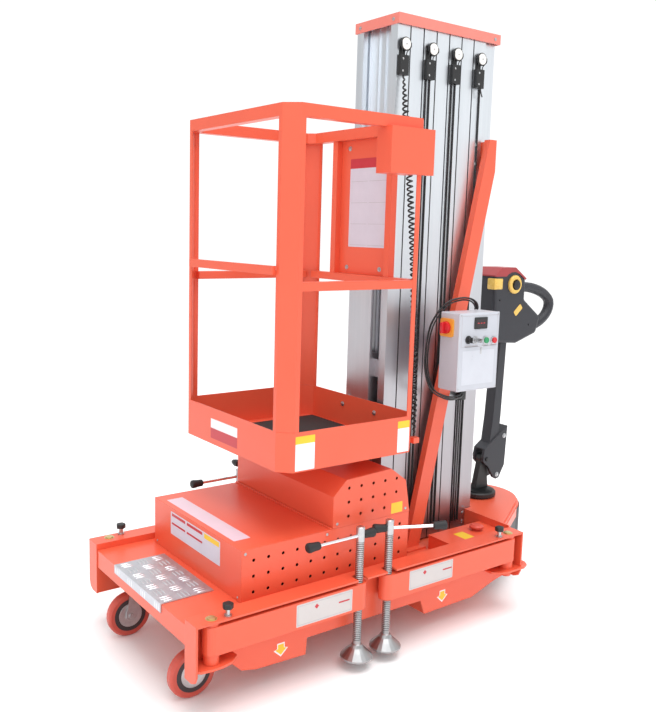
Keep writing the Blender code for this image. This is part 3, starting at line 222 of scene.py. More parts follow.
# Rolled bar plate: a bright skin with a cloudy mottle between the bars
grained("rolled aluminium tread", "#D9DCE1", "#B6B9C0", 2.4, 0.16, 22, metallic=1.0, roughness=0.44, rough_swing=0.12)
# The bars' backs are polished by shoes
grained("polished tread bars", "#E9EBEE", "#D2D5D9", 3.0, 0.02, 30, metallic=1.0, roughness=0.34)
# Blue-white zinc plate with the crystals' faint mottling
grained("zinc plated steel", "#D2D3D4", "#A9ABAE", 1.5, 0.03, 14, metallic=1.0, roughness=0.33, rough_swing=0.10)
# Chrome over a ground bar: smoother and whiter than zinc, so it shows as one clean white line
grained("bright chrome plate", "#F2F3F5", "#DDDFE2", 2.0, 0.01, 20, metallic=1.0, roughness=0.16)
# Passivated zinc has a warm straw colour, here on the pivot heads
grained("yellow zinc plate", "#E6DAA8", "#C8B67C", 1.5, 0.03, 10, metallic=1.0, roughness=0.36)
# Blackened and oiled: dark, but with the gleam of a metal
grained("black oxide steel", "#2A2B2D", "#191A1B", 1.2, 0.03, 20, metallic=0.7, roughness=0.45)
print("finishes so far:", len(FINISHES))

# %% Thread of the jack screws
# The same plating over a rolled thread, above the foot only: bright crests, and painted shade that darkens the grooves
THREAD_PITCH, THREAD_START_Z, THREAD_DEPTH = 0.006, 0.086, 0.0009
_, tree, shader, place = new_finish("threaded zinc steel", metallic=1.0, roughness=0.36)
split = add(tree, "ShaderNodeSeparateXYZ", {"Vector": place})
ridges = add(tree, "ShaderNodeMath", {0: split.outputs["Z"]}, operation="MULTIPLY")
ridges.inputs[1].default_value = 2 * math.pi / THREAD_PITCH
crest = add(tree, "ShaderNodeMath", {0: ridges.outputs[0]}, operation="SINE")
above = add(tree, "ShaderNodeMath", {0: split.outputs["Z"]}, operation="GREATER_THAN")
above.inputs[1].default_value = THREAD_START_Z
thread = add(tree, "ShaderNodeMath", {0: crest.outputs[0], 1: above.outputs[0]}, operation="MULTIPLY")
relief = add(tree, "ShaderNodeBump", {"Height": thread.outputs[0]}, Strength=1.0, Distance=THREAD_DEPTH)
tree.links.new(relief.outputs["Normal"], shader.inputs["Normal"])
# Painted shade: the colour darkens in the thread's grooves and stays pale on its crests
shade = add(tree, "ShaderNodeMapRange", {"Value": thread.outputs[0]}, From_Min=-1.0)
groove_shade = add(tree, "ShaderNodeMix", {"Factor": shade.outputs["Result"]}, data_type="RGBA",
             A=linear("#707173"), B=linear("#CFD0D1"))
tree.links.new(groove_shade.outputs["Result"], shader.inputs["Base Color"])
print("turns of thread to the metre:", round(1 / THREAD_PITCH))

# %% Rubber, plastic and print
# Moulded plastic has a fine grain from its mould that breaks the gloss, and the big covers have rounder edges
grained("black moulded plastic", "#232426", "#18191A", 0.9, 0.05, 60, roughness=0.48, eased_mm=1.5)
grained("charcoal moulded plastic", "#2F3037", "#25262C", 1.0, 0.06, 80, roughness=0.50, eased_mm=5.0)
# A cable's extruded jacket is smooth, with one narrow line of light. Grip rubber is duller, the mat dullest:
# its ribs are too fine to show here, so they are drawn as a coarse grain
grained("black cable jacket", "#1D1D1F", "#121213", 1.2, 0.03, 40, roughness=0.42)
grained("black grip rubber", "#262729", "#1A1A1C", 1.0, 0.10, 40, roughness=0.62)
grained("ribbed rubber mat", "#2B2A2B", "#1D1C1D", 1.5, 0.15, 60, roughness=0.78)
# Cast urethane looks waxy, and light goes a little way into the red one
grained("cast red urethane", "#CB5647", "#B7463A", 2.5, 0.05, 30, roughness=0.38, Subsurface_Weight=0.05)
grained("dark cast urethane", "#3A3032", "#272124", 2.5, 0.05, 40, roughness=0.5)
# Turned acetal is milk white and slippery smooth
grained("white acetal", "#F1F0EC", "#E4E2DD", 1.0, 0.02, 20, roughness=0.30)
# Buttons, dials and caps come from polished moulds, so they keep a small sharp highlight
# Only the stop button is faded, and many palms have dulled it
for name, pale, dark, roughness in (
        ("glossy red plastic", "#D0222B", "#BC1A24", 0.25), ("glossy green plastic", "#2E9B63", "#238452", 0.25),
        ("gold moulded plastic", "#E9C468", "#DBB150", 0.28), ("orange yellow plastic", "#F0A63A", "#E4972C", 0.30),
        ("dull red plastic", "#A93B3F", "#963236", 0.34), ("faded red plastic", "#D6503F", "#C64536", 0.42)):
    grained(name, pale, dark, 1.5, 0.02, 30, roughness=roughness)
# Printed plates are almost flat, so they differ in colour and gloss alone
for name, pale, dark, roughness in (
        ("white vinyl label", "#F2EFF1", "#E6E2E5", 0.30), ("pale panel vinyl", "#CDD0D8", "#C2C5CE", 0.30),
        ("lilac white vinyl label", "#E3CFDB", "#D6C0CE", 0.32), ("silver vinyl label", "#CDC8C6", "#C0BBBA", 0.36),
        ("matt printed sheet", "#D3CED9", "#C7C1CD", 0.50), ("red printed vinyl", "#C8303C", "#B62733", 0.32),
        ("yellow printed vinyl", "#F2C92E", "#E6B922", 0.32), ("grey printed vinyl", "#B9B5BA", "#A7A3A8", 0.35)):
    grained(name, pale, dark, 1.2, 0.01, 50, roughness=roughness)
# The display's window is smoked and polished like glass
grained("smoked display window", "#33272B", "#241B1F", 1.5, 0.01, 30, roughness=0.12)
# Painted shade: near-black strips stand for the shadow deep in the mast's side grooves and running gaps
grained("black shadow gap", "#101011", "#0A0A0A", 1.0, 0.02, 40, roughness=0.8)
print("finishes:", len(FINISHES))

# %% [markdown]
# ## Dressing the frame
# Every rigid part gets the finish of the real one. Each could be painted on
# its own, but in one table from finish to parts a repaint is one word, and
# what is still bare can be listed.

# %% Finish of each rigid part
DRESS = {
    "orange powder coat": [
        "side_frame_right", "side_frame_left", "front_deck", "base_tray", "lower_cover", "upper_cover",
        "strut_right", "strut_left", "drive_cover", "basket_pan", "basket_frame", "rear_panel",
        "entry_bar", "outrigger_arm_front_right", "outrigger_arm_front_left", "outrigger_arm_rear_right",
        "outrigger_arm_rear_left"],
    "pale orange powder coat": ["mast_cap"],
    "rolled aluminium tread": ["step_tread"],
    "anodised aluminium extrusion": ["mast_section_1", "mast_section_2", "mast_section_3", "mast_section_4",
                                     "carriage"],
    "threaded zinc steel": ["jack_front_right", "jack_front_left", "jack_rear_right", "jack_rear_left"],
    "zinc plated steel": ["caster_fork_right", "caster_fork_left"],
    "black moulded plastic": ["cable_guide_1", "cable_guide_2", "cable_guide_3", "cable_guide_4", "release_lever",
                              "steer_head"],
    "charcoal moulded plastic": ["bumper", "tiller", "power_block"],
    "black cable jacket": ["control_cable", "coil_cord"],
    "ribbed rubber mat": ["floor_mat"],
    "cast red urethane": ["caster_wheel_right", "caster_wheel_left"],
    "dark cast urethane": ["drive_wheel"],
    "light grey enamel": ["control_box"],
    "faded red plastic": ["stop_button"],
}
for finish_name, parts in DRESS.items():
    for part in parts:
        mesh = nodes[part].data
        mesh.materials.clear()
        mesh.materials.append(FINISHES[finish_name])
undressed = set(nodes) - {part for parts in DRESS.values() for part in parts}
print("undressed parts:", sorted(undressed))

# %% [markdown]
# ## Small makers
# Bolts, plates, knobs and tubes are many and alike. Each could be a ready made
# cylinder or cube with modifiers, but short tables of places and profiles are
# easier to read and give clean faces. One maker turns round pieces on a lathe,
# one cuts plates with rounded corners, one makes blocks with eased edges and
# one bends tubes. Most of them end in the same step, a skin over some rings.

# %% From mesh code to a piece
SHARP_ANGLE = math.radians(34)
# How far the foot of a piece goes into the face that it stands on
SINK = 0.0002
SIDES = ((1, "right"), (-1, "left"))
PIECES = []


def mesh_of(name, bm):
    """Mesh data made from mesh code, which is then freed."""
    mesh_data = bpy.data.meshes.new(name)
    bm.to_mesh(mesh_data)
    bm.free()
    return mesh_data


def from_bmesh(name, bm, body, finish_name, smooth=True):
    """Turns mesh code into a piece with its faces outward and its finish, which rides on its body."""
    bmesh.ops.recalc_face_normals(bm, faces=bm.faces)
    made = bpy.data.objects.new(name, mesh_of(name, bm))
    put_in_scene(made)
    made.data.materials.append(FINISHES[finish_name])
    if smooth:
        made.data.shade_smooth()
        made.data.set_sharp_from_angle(angle=SHARP_ANGLE)
    PIECES.append(name)
    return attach(made, body)


def aimed(base, direction, up=(0, 0, 1)):
    """Matrix that stands local Z along a direction, with local Y as near to up as it can be."""
    z = Vector(direction).normalized()
    y = Vector(up)
    if abs(y.normalized().dot(z)) > 0.99:
        y = Vector((0, 1, 0))
    y = (y - z * y.dot(z)).normalized()
    x = y.cross(z)
    return Matrix.Translation(base) @ Matrix((x, y, z)).transposed().to_4x4()


def skin(bm, rings):
    """Closes a row of rings: a cap at both ends, and a band of faces between neighbours."""
    bm.faces.new(rings[0])
    bm.faces.new(rings[-1])
    count = len(rings[0])
    for first, second in zip(rings, rings[1:]):
        for i in range(count):
            j = (i + 1) % count
            bm.faces.new((first[i], first[j], second[j], second[i]))


# %% Lathe, bolts and screws
def lathe_into(bm, base, direction, profile, sides=24):
    """Adds a turned shape: (distance along the axis, radius) from one end to the other."""
    stand = aimed(base, direction)
    rings = []
    for along, radius in profile:
        rings.append([bm.verts.new(stand @ Vector((radius * math.cos(2 * math.pi * i / sides),
                                                   radius * math.sin(2 * math.pi * i / sides), along)))
                      for i in range(sides)])
    skin(bm, rings)


def lathe(name, body, finish_name, turns, sides=24):
    """One piece of several turned shapes, each (base, direction, profile)."""
    bm = bmesh.new()
    for base, direction, profile in turns:
        lathe_into(bm, base, direction, profile, sides)
    return from_bmesh(name, bm, body, finish_name)


def hex_bolts(name, body, finish_name, rows, sides=6):
    """Bolt heads with a washer under each: rows of (place, direction, radius in mm, head height in mm)."""
    bm = bmesh.new()
    for place, direction, radius, height in rows:
        r, h = radius * MM, height * MM
        # The washer is a third wider than the head, and both have an eased rim
        lathe_into(bm, place, direction, [(-SINK, r * 1.32), (h * 0.14, r * 1.35), (h * 0.2, r * 1.25)], 20)
        lathe_into(bm, place, direction, [(0.0, r), (h * 0.9, r), (h, r * 0.86)], sides)
    return from_bmesh(name, bm, body, finish_name)


def screws(name, body, finish_name, rows):
    """Domed screw heads: rows of (place, direction, radius in mm)."""
    bm = bmesh.new()
    for place, direction, radius in rows:
        r = radius * MM
        dome = [(-SINK, r), (r * 0.25, r * 0.97), (r * 0.5, r * 0.72), (r * 0.6, r * 0.3)]
        lathe_into(bm, place, direction, dome, 16)
    return from_bmesh(name, bm, body, finish_name)


# %% Plates and blocks
CORNER_STEPS = 4


def plates(name, body, finish_name, rows, thick=0.0003):
    """Flat plates with rounded corners: rows of (centre, facing, up, width, height, corner radius)."""
    bm = bmesh.new()
    for centre, facing, up, width, height, corner in rows:
        stand = aimed(centre, facing, up)
        outline = []
        for sx, sy, start in ((1, 1, 0), (-1, 1, 90), (-1, -1, 180), (1, -1, 270)):
            for step in range(CORNER_STEPS + 1):
                turn = math.radians(start + 90 / CORNER_STEPS * step)
                outline.append((sx * (width / 2 - corner) + corner * math.cos(turn),
                                sy * (height / 2 - corner) + corner * math.sin(turn)))
        skin(bm, [[bm.verts.new(stand @ Vector((x, y, z))) for x, y in outline] for z in (-SINK, thick)])
    return from_bmesh(name, bm, body, finish_name, False)


def blocks(name, body, finish_name, rows, edge=0.001):
    """Blocks with eased edges: rows of (lowest corner, highest corner)."""
    bm = bmesh.new()
    for low, high in rows:
        made = bmesh.ops.create_cube(bm, size=1.0)["verts"]
        size = Vector(high) - Vector(low)
        bmesh.ops.transform(bm, verts=made, matrix=Matrix.Translation((Vector(low) + Vector(high)) / 2)
                            @ Matrix.Diagonal((*size, 1.0)))
    bmesh.ops.bevel(bm, geom=bm.edges[:], offset=edge, segments=2, affect="EDGES", profile=0.5)
    return from_bmesh(name, bm, body, finish_name)


# %% Tubes and routes
def ahead_at(points, i):
    """Direction of a line of points at one of them."""
    return (points[min(i + 1, len(points) - 1)] - points[max(i - 1, 0)]).normalized()


def tubes(name, body, finish_name, routes, radius, sides=10):
    """Round tubes with closed ends along lists of points, as one piece."""
    bm = bmesh.new()
    for route in routes:
        points = [Vector(p) for p in route]
        rings = []
        across = None
        for i, point in enumerate(points):
            ahead = ahead_at(points, i)
            across = ahead.orthogonal() if across is None else across - ahead * across.dot(ahead)
            across.normalize()
            side = ahead.cross(across)
            rings.append([bm.verts.new(point + radius * (across * math.cos(2 * math.pi * k / sides)
                                                         + side * math.sin(2 * math.pi * k / sides)))
                          for k in range(sides)])
        skin(bm, rings)
    return from_bmesh(name, bm, body, finish_name)


def smooth_route(corners, steps):
    """Points on one smooth curve through the given places."""
    places = [Vector(c) for c in corners]
    places = [2 * places[0] - places[1]] + places + [2 * places[-1] - places[-2]]
    route = []
    for a, b, c, d in zip(places, places[1:], places[2:], places[3:]):
        for i in range(steps):
            t = i / steps
            route.append(0.5 * ((2 * b) + (c - a) * t + (2 * a - 5 * b + 4 * c - d) * t ** 2
                                + (3 * b - a - 3 * c + d) * t ** 3))
    return route + [places[-2]]


# %% [markdown]
# ## The coiled lead
# The basket's controls hang on a coiled lead from the clamp near the mast's
# head down to the pan. A thick tube with a striped bump could stand for it,
# but a coil is known by its outline. So it's wound as the real one is: one
# thin cable round a helix that follows the frame's route, 17 mm from turn to
# turn, and its points also give its real length. It rides as one stiff piece
# on the first mast section, so it can't follow the lift joint.

# %% Coiled lead
COIL_ROUTE = ((0.112, -0.0465, 1.801), (0.136, -0.0475, 1.640), (0.200, -0.0525, 1.200), (0.262, -0.0755, 0.660))
COIL_PITCH, COIL_OUTER, LEAD_RADIUS, STEPS_PER_TURN = 0.0170, 0.0115, 0.0029, 12
middle_line = smooth_route(COIL_ROUTE, 40)
route_length = sum((there - here).length for here, there in zip(middle_line, middle_line[1:]))
helix, path_length = [], 0.0
for here, there in zip(middle_line, middle_line[1:]):
    step = (there - here).length
    ahead = (there - here).normalized()
    across = ahead.cross(Vector((0, 1, 0))).normalized()
    side = ahead.cross(across)
    pieces_per_step = max(1, round(step / COIL_PITCH * STEPS_PER_TURN))
    for k in range(pieces_per_step):
        wound = path_length + step * k / pieces_per_step
        turn = 2 * math.pi * wound / COIL_PITCH
        centre = here + (there - here) * (k / pieces_per_step)
        # The turns open out from the middle line over about 10 cm at both ends
        swing = (COIL_OUTER - LEAD_RADIUS) * min(1.0, 0.15 + 8 * min(wound, route_length - path_length))
        helix.append(centre + swing * (across * math.cos(turn) + side * math.sin(turn)))
    path_length += step
coil = tubes("coiled_lead", "mast_1", "black cable jacket", [helix], LEAD_RADIUS, 6)
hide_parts("coil_cord")
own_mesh(coil)
print("lead:", len(helix), "points, route", round(path_length, 3), "m")

# %% [markdown]
# ## Perforated covers
# The two covers over the power pack have rows of 10 mm vent holes on both
# sides. Black dots could stand for them from afar. But each hole is cut
# through the sheet here, so it has a real rim, and the dark power pack shows
# behind it as it does on the machine.

# %% Vent holes
# First y, top z, columns, rows, pitch along y, pitch down z
VENTS = ((-0.683, 0.384, 12, 3, 0.050, 0.047), (-0.345, 0.537, 5, 3, 0.048, 0.044))
# The drills start inside the covers and come out through the sheet
DRILL_X, DRILL_LENGTH, VENT_RADIUS, DRILL_SIDES = 0.262, 0.024, 0.005, 12
bm = bmesh.new()
for first_y, top_z, columns, rows, pitch_y, pitch_z in VENTS:
    for column in range(columns):
        for row in range(rows):
            y, z = first_y + column * pitch_y, top_z - row * pitch_z
            for side in (-1, 1):
                lathe_into(bm, (side * DRILL_X, y, z), (side, 0, 0),
                           [(0.0, VENT_RADIUS), (DRILL_LENGTH, VENT_RADIUS)], DRILL_SIDES)
bmesh.ops.recalc_face_normals(bm, faces=bm.faces)
vent_drills = bpy.data.objects.new("vent_drills", mesh_of("vent_drills", bm))
vent_drills.hide_render = True
put_in_scene(vent_drills)
for cover in ("lower_cover", "upper_cover"):
    drilled = nodes[cover].modifiers.new("vents", "BOOLEAN")
    drilled.object, drilled.solver, drilled.operation = vent_drills, "EXACT", "DIFFERENCE"
print("vents drilled:", len(vent_drills.data.polygons) // (DRILL_SIDES + 2))

# %% [markdown]
# ## Step tread
# Aluminium bar plate: groups of raised bars that turn by a right angle from
# one group to the next, and the pattern runs on over the folded lip. As a
# bump it would vanish at this low angle, so the bars are real shapes. The real
# plate has five fine bars to a group. Three of 39 mm by 5.8 mm, 1.4 mm proud,
# are drawn here, so that each still holds its own line of light.

# %% One raised bar
BAR_SIDES, BAR_HALF_WIDTH = 12, 0.0029
# The back of a bar is shorter and narrower than its foot
BACK_LENGTH, BACK_WIDTH = 0.75, 0.4
EAST, NORTH, RISE = Vector((1, 0, 0)), Vector((0, 1, 0)), Vector((0, 0, 1))
bm = bmesh.new()


def raised_bar(middle, ahead, beside, rise, half):
    """A long oval with a narrower back, as the roll leaves it."""
    low, high = [], []
    for step in range(BAR_SIDES):
        turn = 2 * math.pi * step / BAR_SIDES
        along, across = ahead * half * math.cos(turn), beside * BAR_HALF_WIDTH * math.sin(turn)
        low.append(bm.verts.new(middle + along + across))
        high.append(bm.verts.new(middle + along * BACK_LENGTH + across * BACK_WIDTH + rise))
    skin(bm, [low, high])


# %% Bar plate
STEP_FACE_Y, STEP_TOP_Z, LIP_Z = -0.9145, 0.2682, 0.2540
# Groups lie 45.5 mm apart across the step, 53 mm from row to row, and the first row 30 mm behind the lip
GROUP, ROW, FIRST_ROW = 0.0455, 0.053, 0.030
BAR_PITCH, BAR_RISE, BAR_HALF, OUTER_SHORTER = 0.0122, 0.0014, 0.0195, 0.0025
LIP_BAR_RISE, LIP_BAR_HALF = 0.0010, 0.0110
for across in range(-3, 4):
    for along in range(3):
        centre = Vector((across * GROUP, STEP_FACE_Y + FIRST_ROW + along * ROW, STEP_TOP_Z))
        ahead, beside = (NORTH, EAST) if (across + along) % 2 else (EAST, NORTH)
        for bar in (-1, 0, 1):
            raised_bar(centre + beside * bar * BAR_PITCH, ahead, beside, RISE * BAR_RISE,
                       BAR_HALF - OUTER_SHORTER * abs(bar))
    if across % 2:
        for bar in (-1, 0, 1):
            raised_bar(Vector((across * GROUP + bar * BAR_PITCH, STEP_FACE_Y, LIP_Z)), RISE, EAST,
                       -NORTH * LIP_BAR_RISE, LIP_BAR_HALF)
tread = from_bmesh("tread_bars", bm, "chassis", "polished tread bars")
print("tread bars:", len(tread.data.polygons) // (BAR_SIDES + 2))

# %% [markdown]
# ## Outrigger hardware
# Each outrigger pin ends in a yellow-zinc head on the flange, and a spring
# plunger with a black star knob locks each arm. The screw of each jack has a
# smooth head, through which a chromed T-bar slides, with a rubber grip at both
# ends. Plain sleeves could stand for the grips. Turned from a profile they
# swell to the bulb of the real ones and close over the ends of the bar.

# %% Pins and star knobs
PIVOT_X, KNOB_X, JACK_X = 0.341, 0.350, 0.345
PIVOT_YS, KNOB_YS = (-0.8555, 0.3145), (-0.8105, 0.2595)
FLANGE_Z = 0.285
hex_bolts("pivot_heads", "chassis", "yellow zinc plate", [
    ((side * PIVOT_X, y, FLANGE_Z), (0, 0, 1), 12.5, 4.0) for side in (-1, 1) for y in PIVOT_YS], sides=24)
lathe("knob_studs", "chassis", "zinc plated steel", [
    ((side * KNOB_X, y, 0.2849), (0, 0, 1), [(0, 0.0105), (0.004, 0.0105), (0.0042, 0.0066), (0.0225, 0.0066)])
    for side in (-1, 1) for y in KNOB_YS], 16)
KNOB_SIDES, KNOB_LOBES, KNOB_RADIUS, LOBE = 40, 5, 0.0145, 0.0009
# Height of each ring and its share of the knob's radius
KNOB_PROFILE = ((0.3055, 0.80), (0.3070, 1.0), (0.3185, 1.0), (0.3204, 0.9), (0.3209, 0.6))
rim = []
for i in range(KNOB_SIDES):
    turn = 2 * math.pi * i / KNOB_SIDES
    radius = KNOB_RADIUS + LOBE * math.cos(KNOB_LOBES * turn)
    rim.append((radius * math.cos(turn), radius * math.sin(turn)))
bm = bmesh.new()
for side in (-1, 1):
    for y in KNOB_YS:
        skin(bm, [[bm.verts.new((side * KNOB_X + a * swell, y + b * swell, z)) for a, b in rim]
                  for z, swell in KNOB_PROFILE])
from_bmesh("star_knobs", bm, "chassis", "black moulded plastic")
print("pieces so far:", len(PIECES))

# %% Grips, screw heads and T-bars
T_BAR_Z, SCREW_TOP_Z, BAR_RADIUS = 0.414, 0.4395, 0.0054
# Along the grip and its radius there, from the mouth to the closed bulb
GRIP = [(0, 0.0080), (0.002, 0.0114), (0.006, 0.0122), (0.020, 0.0127), (0.034, 0.0146), (0.040, 0.0144),
        (0.0432, 0.0118), (0.0446, 0.0060)]
SCREW_HEAD = [(-0.0440, 0.0124), (-0.0434, 0.0132), (-0.0010, 0.0132), (0.0010, 0.0118), (0.002, 0.0095)]
# The grip's mouth lies 36 mm before the bar's end, and the plating ends 2 mm inside it
MOUTH, PLATED_TO = 0.036, 0.034
# Corner, y of the jack, direction of the T-bar on +X, long reach, short reach
JACKS = (("front", -0.3555, (0.0, -1.0), 0.187, 0.045), ("rear", -0.2405, (0.400, 0.916), 0.176, 0.045))
for corner, jack_y, lean, far, near in JACKS:
    for side, word in SIDES:
        body = f"jack_{corner}_{word}"
        ahead = Vector((lean[0] * side, lean[1], 0))
        hub = Vector((side * JACK_X, jack_y, T_BAR_Z))
        lathe(f"grips_{corner}_{word}", body, "black grip rubber", [
            (hub + direction * (reach - MOUTH), direction, GRIP)
            for direction, reach in ((ahead, far), (-ahead, near))], 18)
        lathe(f"jack_cap_{corner}_{word}", body, "zinc plated steel", [
            (Vector((side * JACK_X, jack_y, SCREW_TOP_Z)), (0, 0, 1), SCREW_HEAD)], 20)
        lathe(f"t_bar_plating_{corner}_{word}", body, "bright chrome plate", [
            (hub, ahead, [(0, BAR_RADIUS), (far - PLATED_TO, BAR_RADIUS)])], 16)
print("pieces so far:", len(PIECES))

# %% [markdown]
# ## Caster wheels
# A red urethane tyre is cast on a dark rim, round a pressed zinc hub with a
# nut on the axle. The colours could be zones of one finish on the wheel. But
# the hub is dished and the rim stands proud, so both are thin turned discs of
# their own on each face, and only the tyre stays red.

# %% Rims, hubs and axle nuts
CASTER_X, CASTER_Y, CASTER_Z = 0.2125, -0.8455, 0.0715
# How far the wheel's face and the fork's outside lie from its middle
WHEEL_FACE, FORK_FACE = 0.0149, 0.0218
RIM = [(0, 0.0530), (0.0009, 0.0525), (0.0010, 0.0430)]
HUB = [(0, 0.0395), (0.0018, 0.0385), (0.0020, 0.029), (0.0012, 0.025), (0.0012, 0.016), (0.0024, 0.014)]
for side, word in SIDES:
    rims, hubs, nuts = [], [], []
    for face in (-1, 1):
        face_at = Vector((side * CASTER_X + face * WHEEL_FACE, CASTER_Y, CASTER_Z))
        rims.append((face_at, (face, 0, 0), RIM))
        hubs.append((face_at, (face, 0, 0), HUB))
        nuts.append((Vector((side * CASTER_X + face * FORK_FACE, CASTER_Y, CASTER_Z)), (face, 0, 0), 7.5, 5.0))
    lathe(f"caster_rim_{word}", f"caster_wheel_{word}", "dark cast urethane", rims, 40)
    lathe(f"caster_hub_{word}", f"caster_wheel_{word}", "zinc plated steel", hubs, 40)
    hex_bolts(f"axle_nuts_{word}", f"caster_{word}", "zinc plated steel", nuts)
print("pieces so far:", len(PIECES))

# %% [markdown]
# ## Mast details
# Lift ropes climb the side of the mast, one for each section. Each turns over
# a white acetal sheave below the cap and is held by a black clamp with two
# screws. Whole ropes could be laid from foot to head, but they would have to
# run over the sheaves as the mast rises. So only their ends show, each fixed
# to its own section, and black strips between the sections are painted shade
# in their side grooves and running gaps.

# %% Sheaves, clamp screws and ropes
# y of the sheave, y of the clamp, body
GUIDES = ((-0.0395, -0.0465, "mast_1"), (0.0815, 0.0695, "mast_2"), (0.1955, 0.1875, "mast_3"),
          (0.3115, 0.3035, "chassis"))
SHEAVE_X, SHEAVE_Z = 0.1119, 1.897
SHEAVE = [(0, 0.0180), (0.0016, 0.0182), (0.0024, 0.0172), (0.0026, 0.0060)]
for number, (sheave_y, clamp_y, body) in enumerate(GUIDES, 1):
    lathe(f"sheave_{number}", body, "white acetal", [((SHEAVE_X, sheave_y, SHEAVE_Z), (1, 0, 0), SHEAVE)], 32)
    screws(f"sheave_pin_{number}", body, "zinc plated steel", [((0.1143, sheave_y, SHEAVE_Z), (1, 0, 0), 3.4)])
    screws(f"clamp_screws_{number}", body, "zinc plated steel", [
        ((0.116, clamp_y - 0.007, z), (1, 0, 0), 3.2) for z in (1.8125, 1.8495)])
    # Each of the two falls hangs from the sheave's rim and closes in on the clamp: x, y, z
    ropes = [[(0.1135, sheave_y + side * 0.0195, 1.902), (0.1135, sheave_y + side * 0.0190, 1.888),
              (0.1135, clamp_y + side * 0.0105, 1.872), (0.1125, clamp_y + side * 0.0085, 1.858)]
             for side in (-1, 1)]
    tubes(f"sheave_rope_{number}", body, "black cable jacket", [smooth_route(rope, 5) for rope in ropes], 0.0017, 8)
ROPE_END = ((0.1135, 0.3035, 1.820), (0.1165, 0.3045, 1.796), (0.1170, 0.3085, 1.782), (0.1160, 0.3150, 1.772))
tubes("rope_end", "chassis", "black cable jacket", [smooth_route(ROPE_END, 6)], 0.0021, 8)
print("pieces so far:", len(PIECES))

# %% Painted shade strips and cap bolts
FIRST_FRONT_Y, SECTION_PITCH = -0.067, 0.1165
SHADE_STRIP_X, SHADE_STRIP_Z = (0.0955, 0.0985), (0.262, 1.955)
# Behind each section's front: where the painted shade strip in its side groove and the one in the running gap start
# and end
SHADE_STRIP_SPANS = ((0.0534, 0.0581), (0.1117, 0.1132))
for number, body in enumerate(("mast_1", "mast_2", "mast_3"), 1):
    front = FIRST_FRONT_Y + (number - 1) * SECTION_PITCH
    strips = []
    for side in (-1, 1):
        inner, outer = sorted(side * x for x in SHADE_STRIP_X)
        strips += [((inner, front + start, SHADE_STRIP_Z[0]), (outer, front + end, SHADE_STRIP_Z[1])) for start, end in SHADE_STRIP_SPANS]
    blocks(f"gap_shade_strip_{number}", body, "black shadow gap", strips, edge=0.0002)
CAP_BOLT_Z = 1.9725
hex_bolts("cap_bolts", "mast_1", "zinc plated steel", [
    ((x, -0.0705, CAP_BOLT_Z), (0, -1, 0), 4.5, 3.0) for x in (-0.082, 0.082)] + [
    ((side * 0.108, 0.375, CAP_BOLT_Z), (side, 0, 0), 4.5, 3.0) for side in (-1, 1)])
print("pieces so far:", len(PIECES))

# %% [markdown]
# ## Bolts of basket, covers and struts
# Zinc hexagon bolts hold the basket's rear panel and the two struts, and
# small domed screws hold the covers. They could be copies of one bolt object.
# With a list of places, a whole row is one piece on one body, and each bolt
# still sits where the real one does.

# %% Bolts, cover screws and seam
hex_bolts("panel_bolts", "basket", "zinc plated steel", [
    ((x, -0.0945, z), (0, -1, 0), 6.0, 4.5) for x in (-0.085, 0.085) for z in (1.183, 1.580)] + [
    ((x, -0.0935, 0.704), (0, -1, 0), 6.5, 5.0) for x in (-0.085, 0.085)])
# y and z on the covers' sides, one near each end of each cover
COVER_SCREWS = ((-0.711, 0.407), (-0.425, 0.407), (-0.388, 0.432), (-0.112, 0.432))
screws("cover_screws", "chassis", "zinc plated steel", [
    ((side * 0.274, y, z), (side, 0, 0), 4.8) for side in (-1, 1) for y, z in COVER_SCREWS] + [
    ((x, -0.723, 0.276), (0, -1, 0), 3.8) for x in (-0.255, 0.255)])
hex_bolts("strut_bolts", "chassis", "zinc plated steel", [
    ((side * 0.1000, 0.318, z), (side, 0, 0), 5.5, 4.5) for side in (-1, 1) for z in (1.612, 1.548)])
# The two covers meet on a raised seam
blocks("cover_seam", "chassis", "orange powder coat", [
    ((-0.2735, -0.4125, 0.4188), (0.2735, -0.4065, 0.4235))], edge=0.0012)
print("pieces so far:", len(PIECES))

# %% [markdown]
# ## Plates and signs
# All plates are left blank, as plain vinyl with the coloured header bands that
# the real ones have. They could be colour fields in the paint's own nodes. As
# thin plates they have real edges that catch the light, and each can be moved
# or left out alone. A white body lies on the paint, and each band on the body.

# %% Blank plates of the basket and the chassis
FRONT, RIGHT, TOP, UP, AFT = (0, -1, 0), (1, 0, 0), (0, 0, 1), (0, 0, 1), (0, 1, 0)
# Finish, body, then (centre, facing, up, width, height)
SIGNS = (
    ("white vinyl label", "basket", [
        ((-0.0275, -0.6085, 0.6915), FRONT, UP, 0.161, 0.030), ((0.298, -0.532, 0.667), RIGHT, UP, 0.068, 0.078),
        ((0.298, -0.156, 0.667), RIGHT, UP, 0.048, 0.076)]),
    ("matt printed sheet", "basket", [((0.016, -0.0945, 1.383), FRONT, UP, 0.192, 0.260)]),
    ("red printed vinyl", "basket", [
        ((-0.0275, -0.6085, 0.660), FRONT, UP, 0.161, 0.033), ((0.016, -0.0945, 1.529), FRONT, UP, 0.192, 0.032)]),
    ("yellow printed vinyl", "basket", [
        ((0.298, -0.532, 0.717), RIGHT, UP, 0.068, 0.022), ((0.298, -0.156, 0.7165), RIGHT, UP, 0.048, 0.022)]),
    ("lilac white vinyl label", "chassis", [((-0.0125, -0.676, 0.419), TOP, AFT, 0.425, 0.056)]),
    ("matt printed sheet", "chassis", [((-0.0015, -0.723, 0.369), FRONT, UP, 0.313, 0.074)]),
    ("yellow printed vinyl", "chassis", [
        ((0.274, -0.1485, 0.441), RIGHT, UP, 0.047, 0.034), ((0.246, 0.205, 0.265), TOP, AFT, 0.070, 0.045)]),
)
SIGN_CORNER = 0.002
for number, (finish_name, body, rows) in enumerate(SIGNS, 1):
    plates(f"signs_{number}", body, finish_name, [(*row, SIGN_CORNER) for row in rows])
BAND_Y = -0.7234
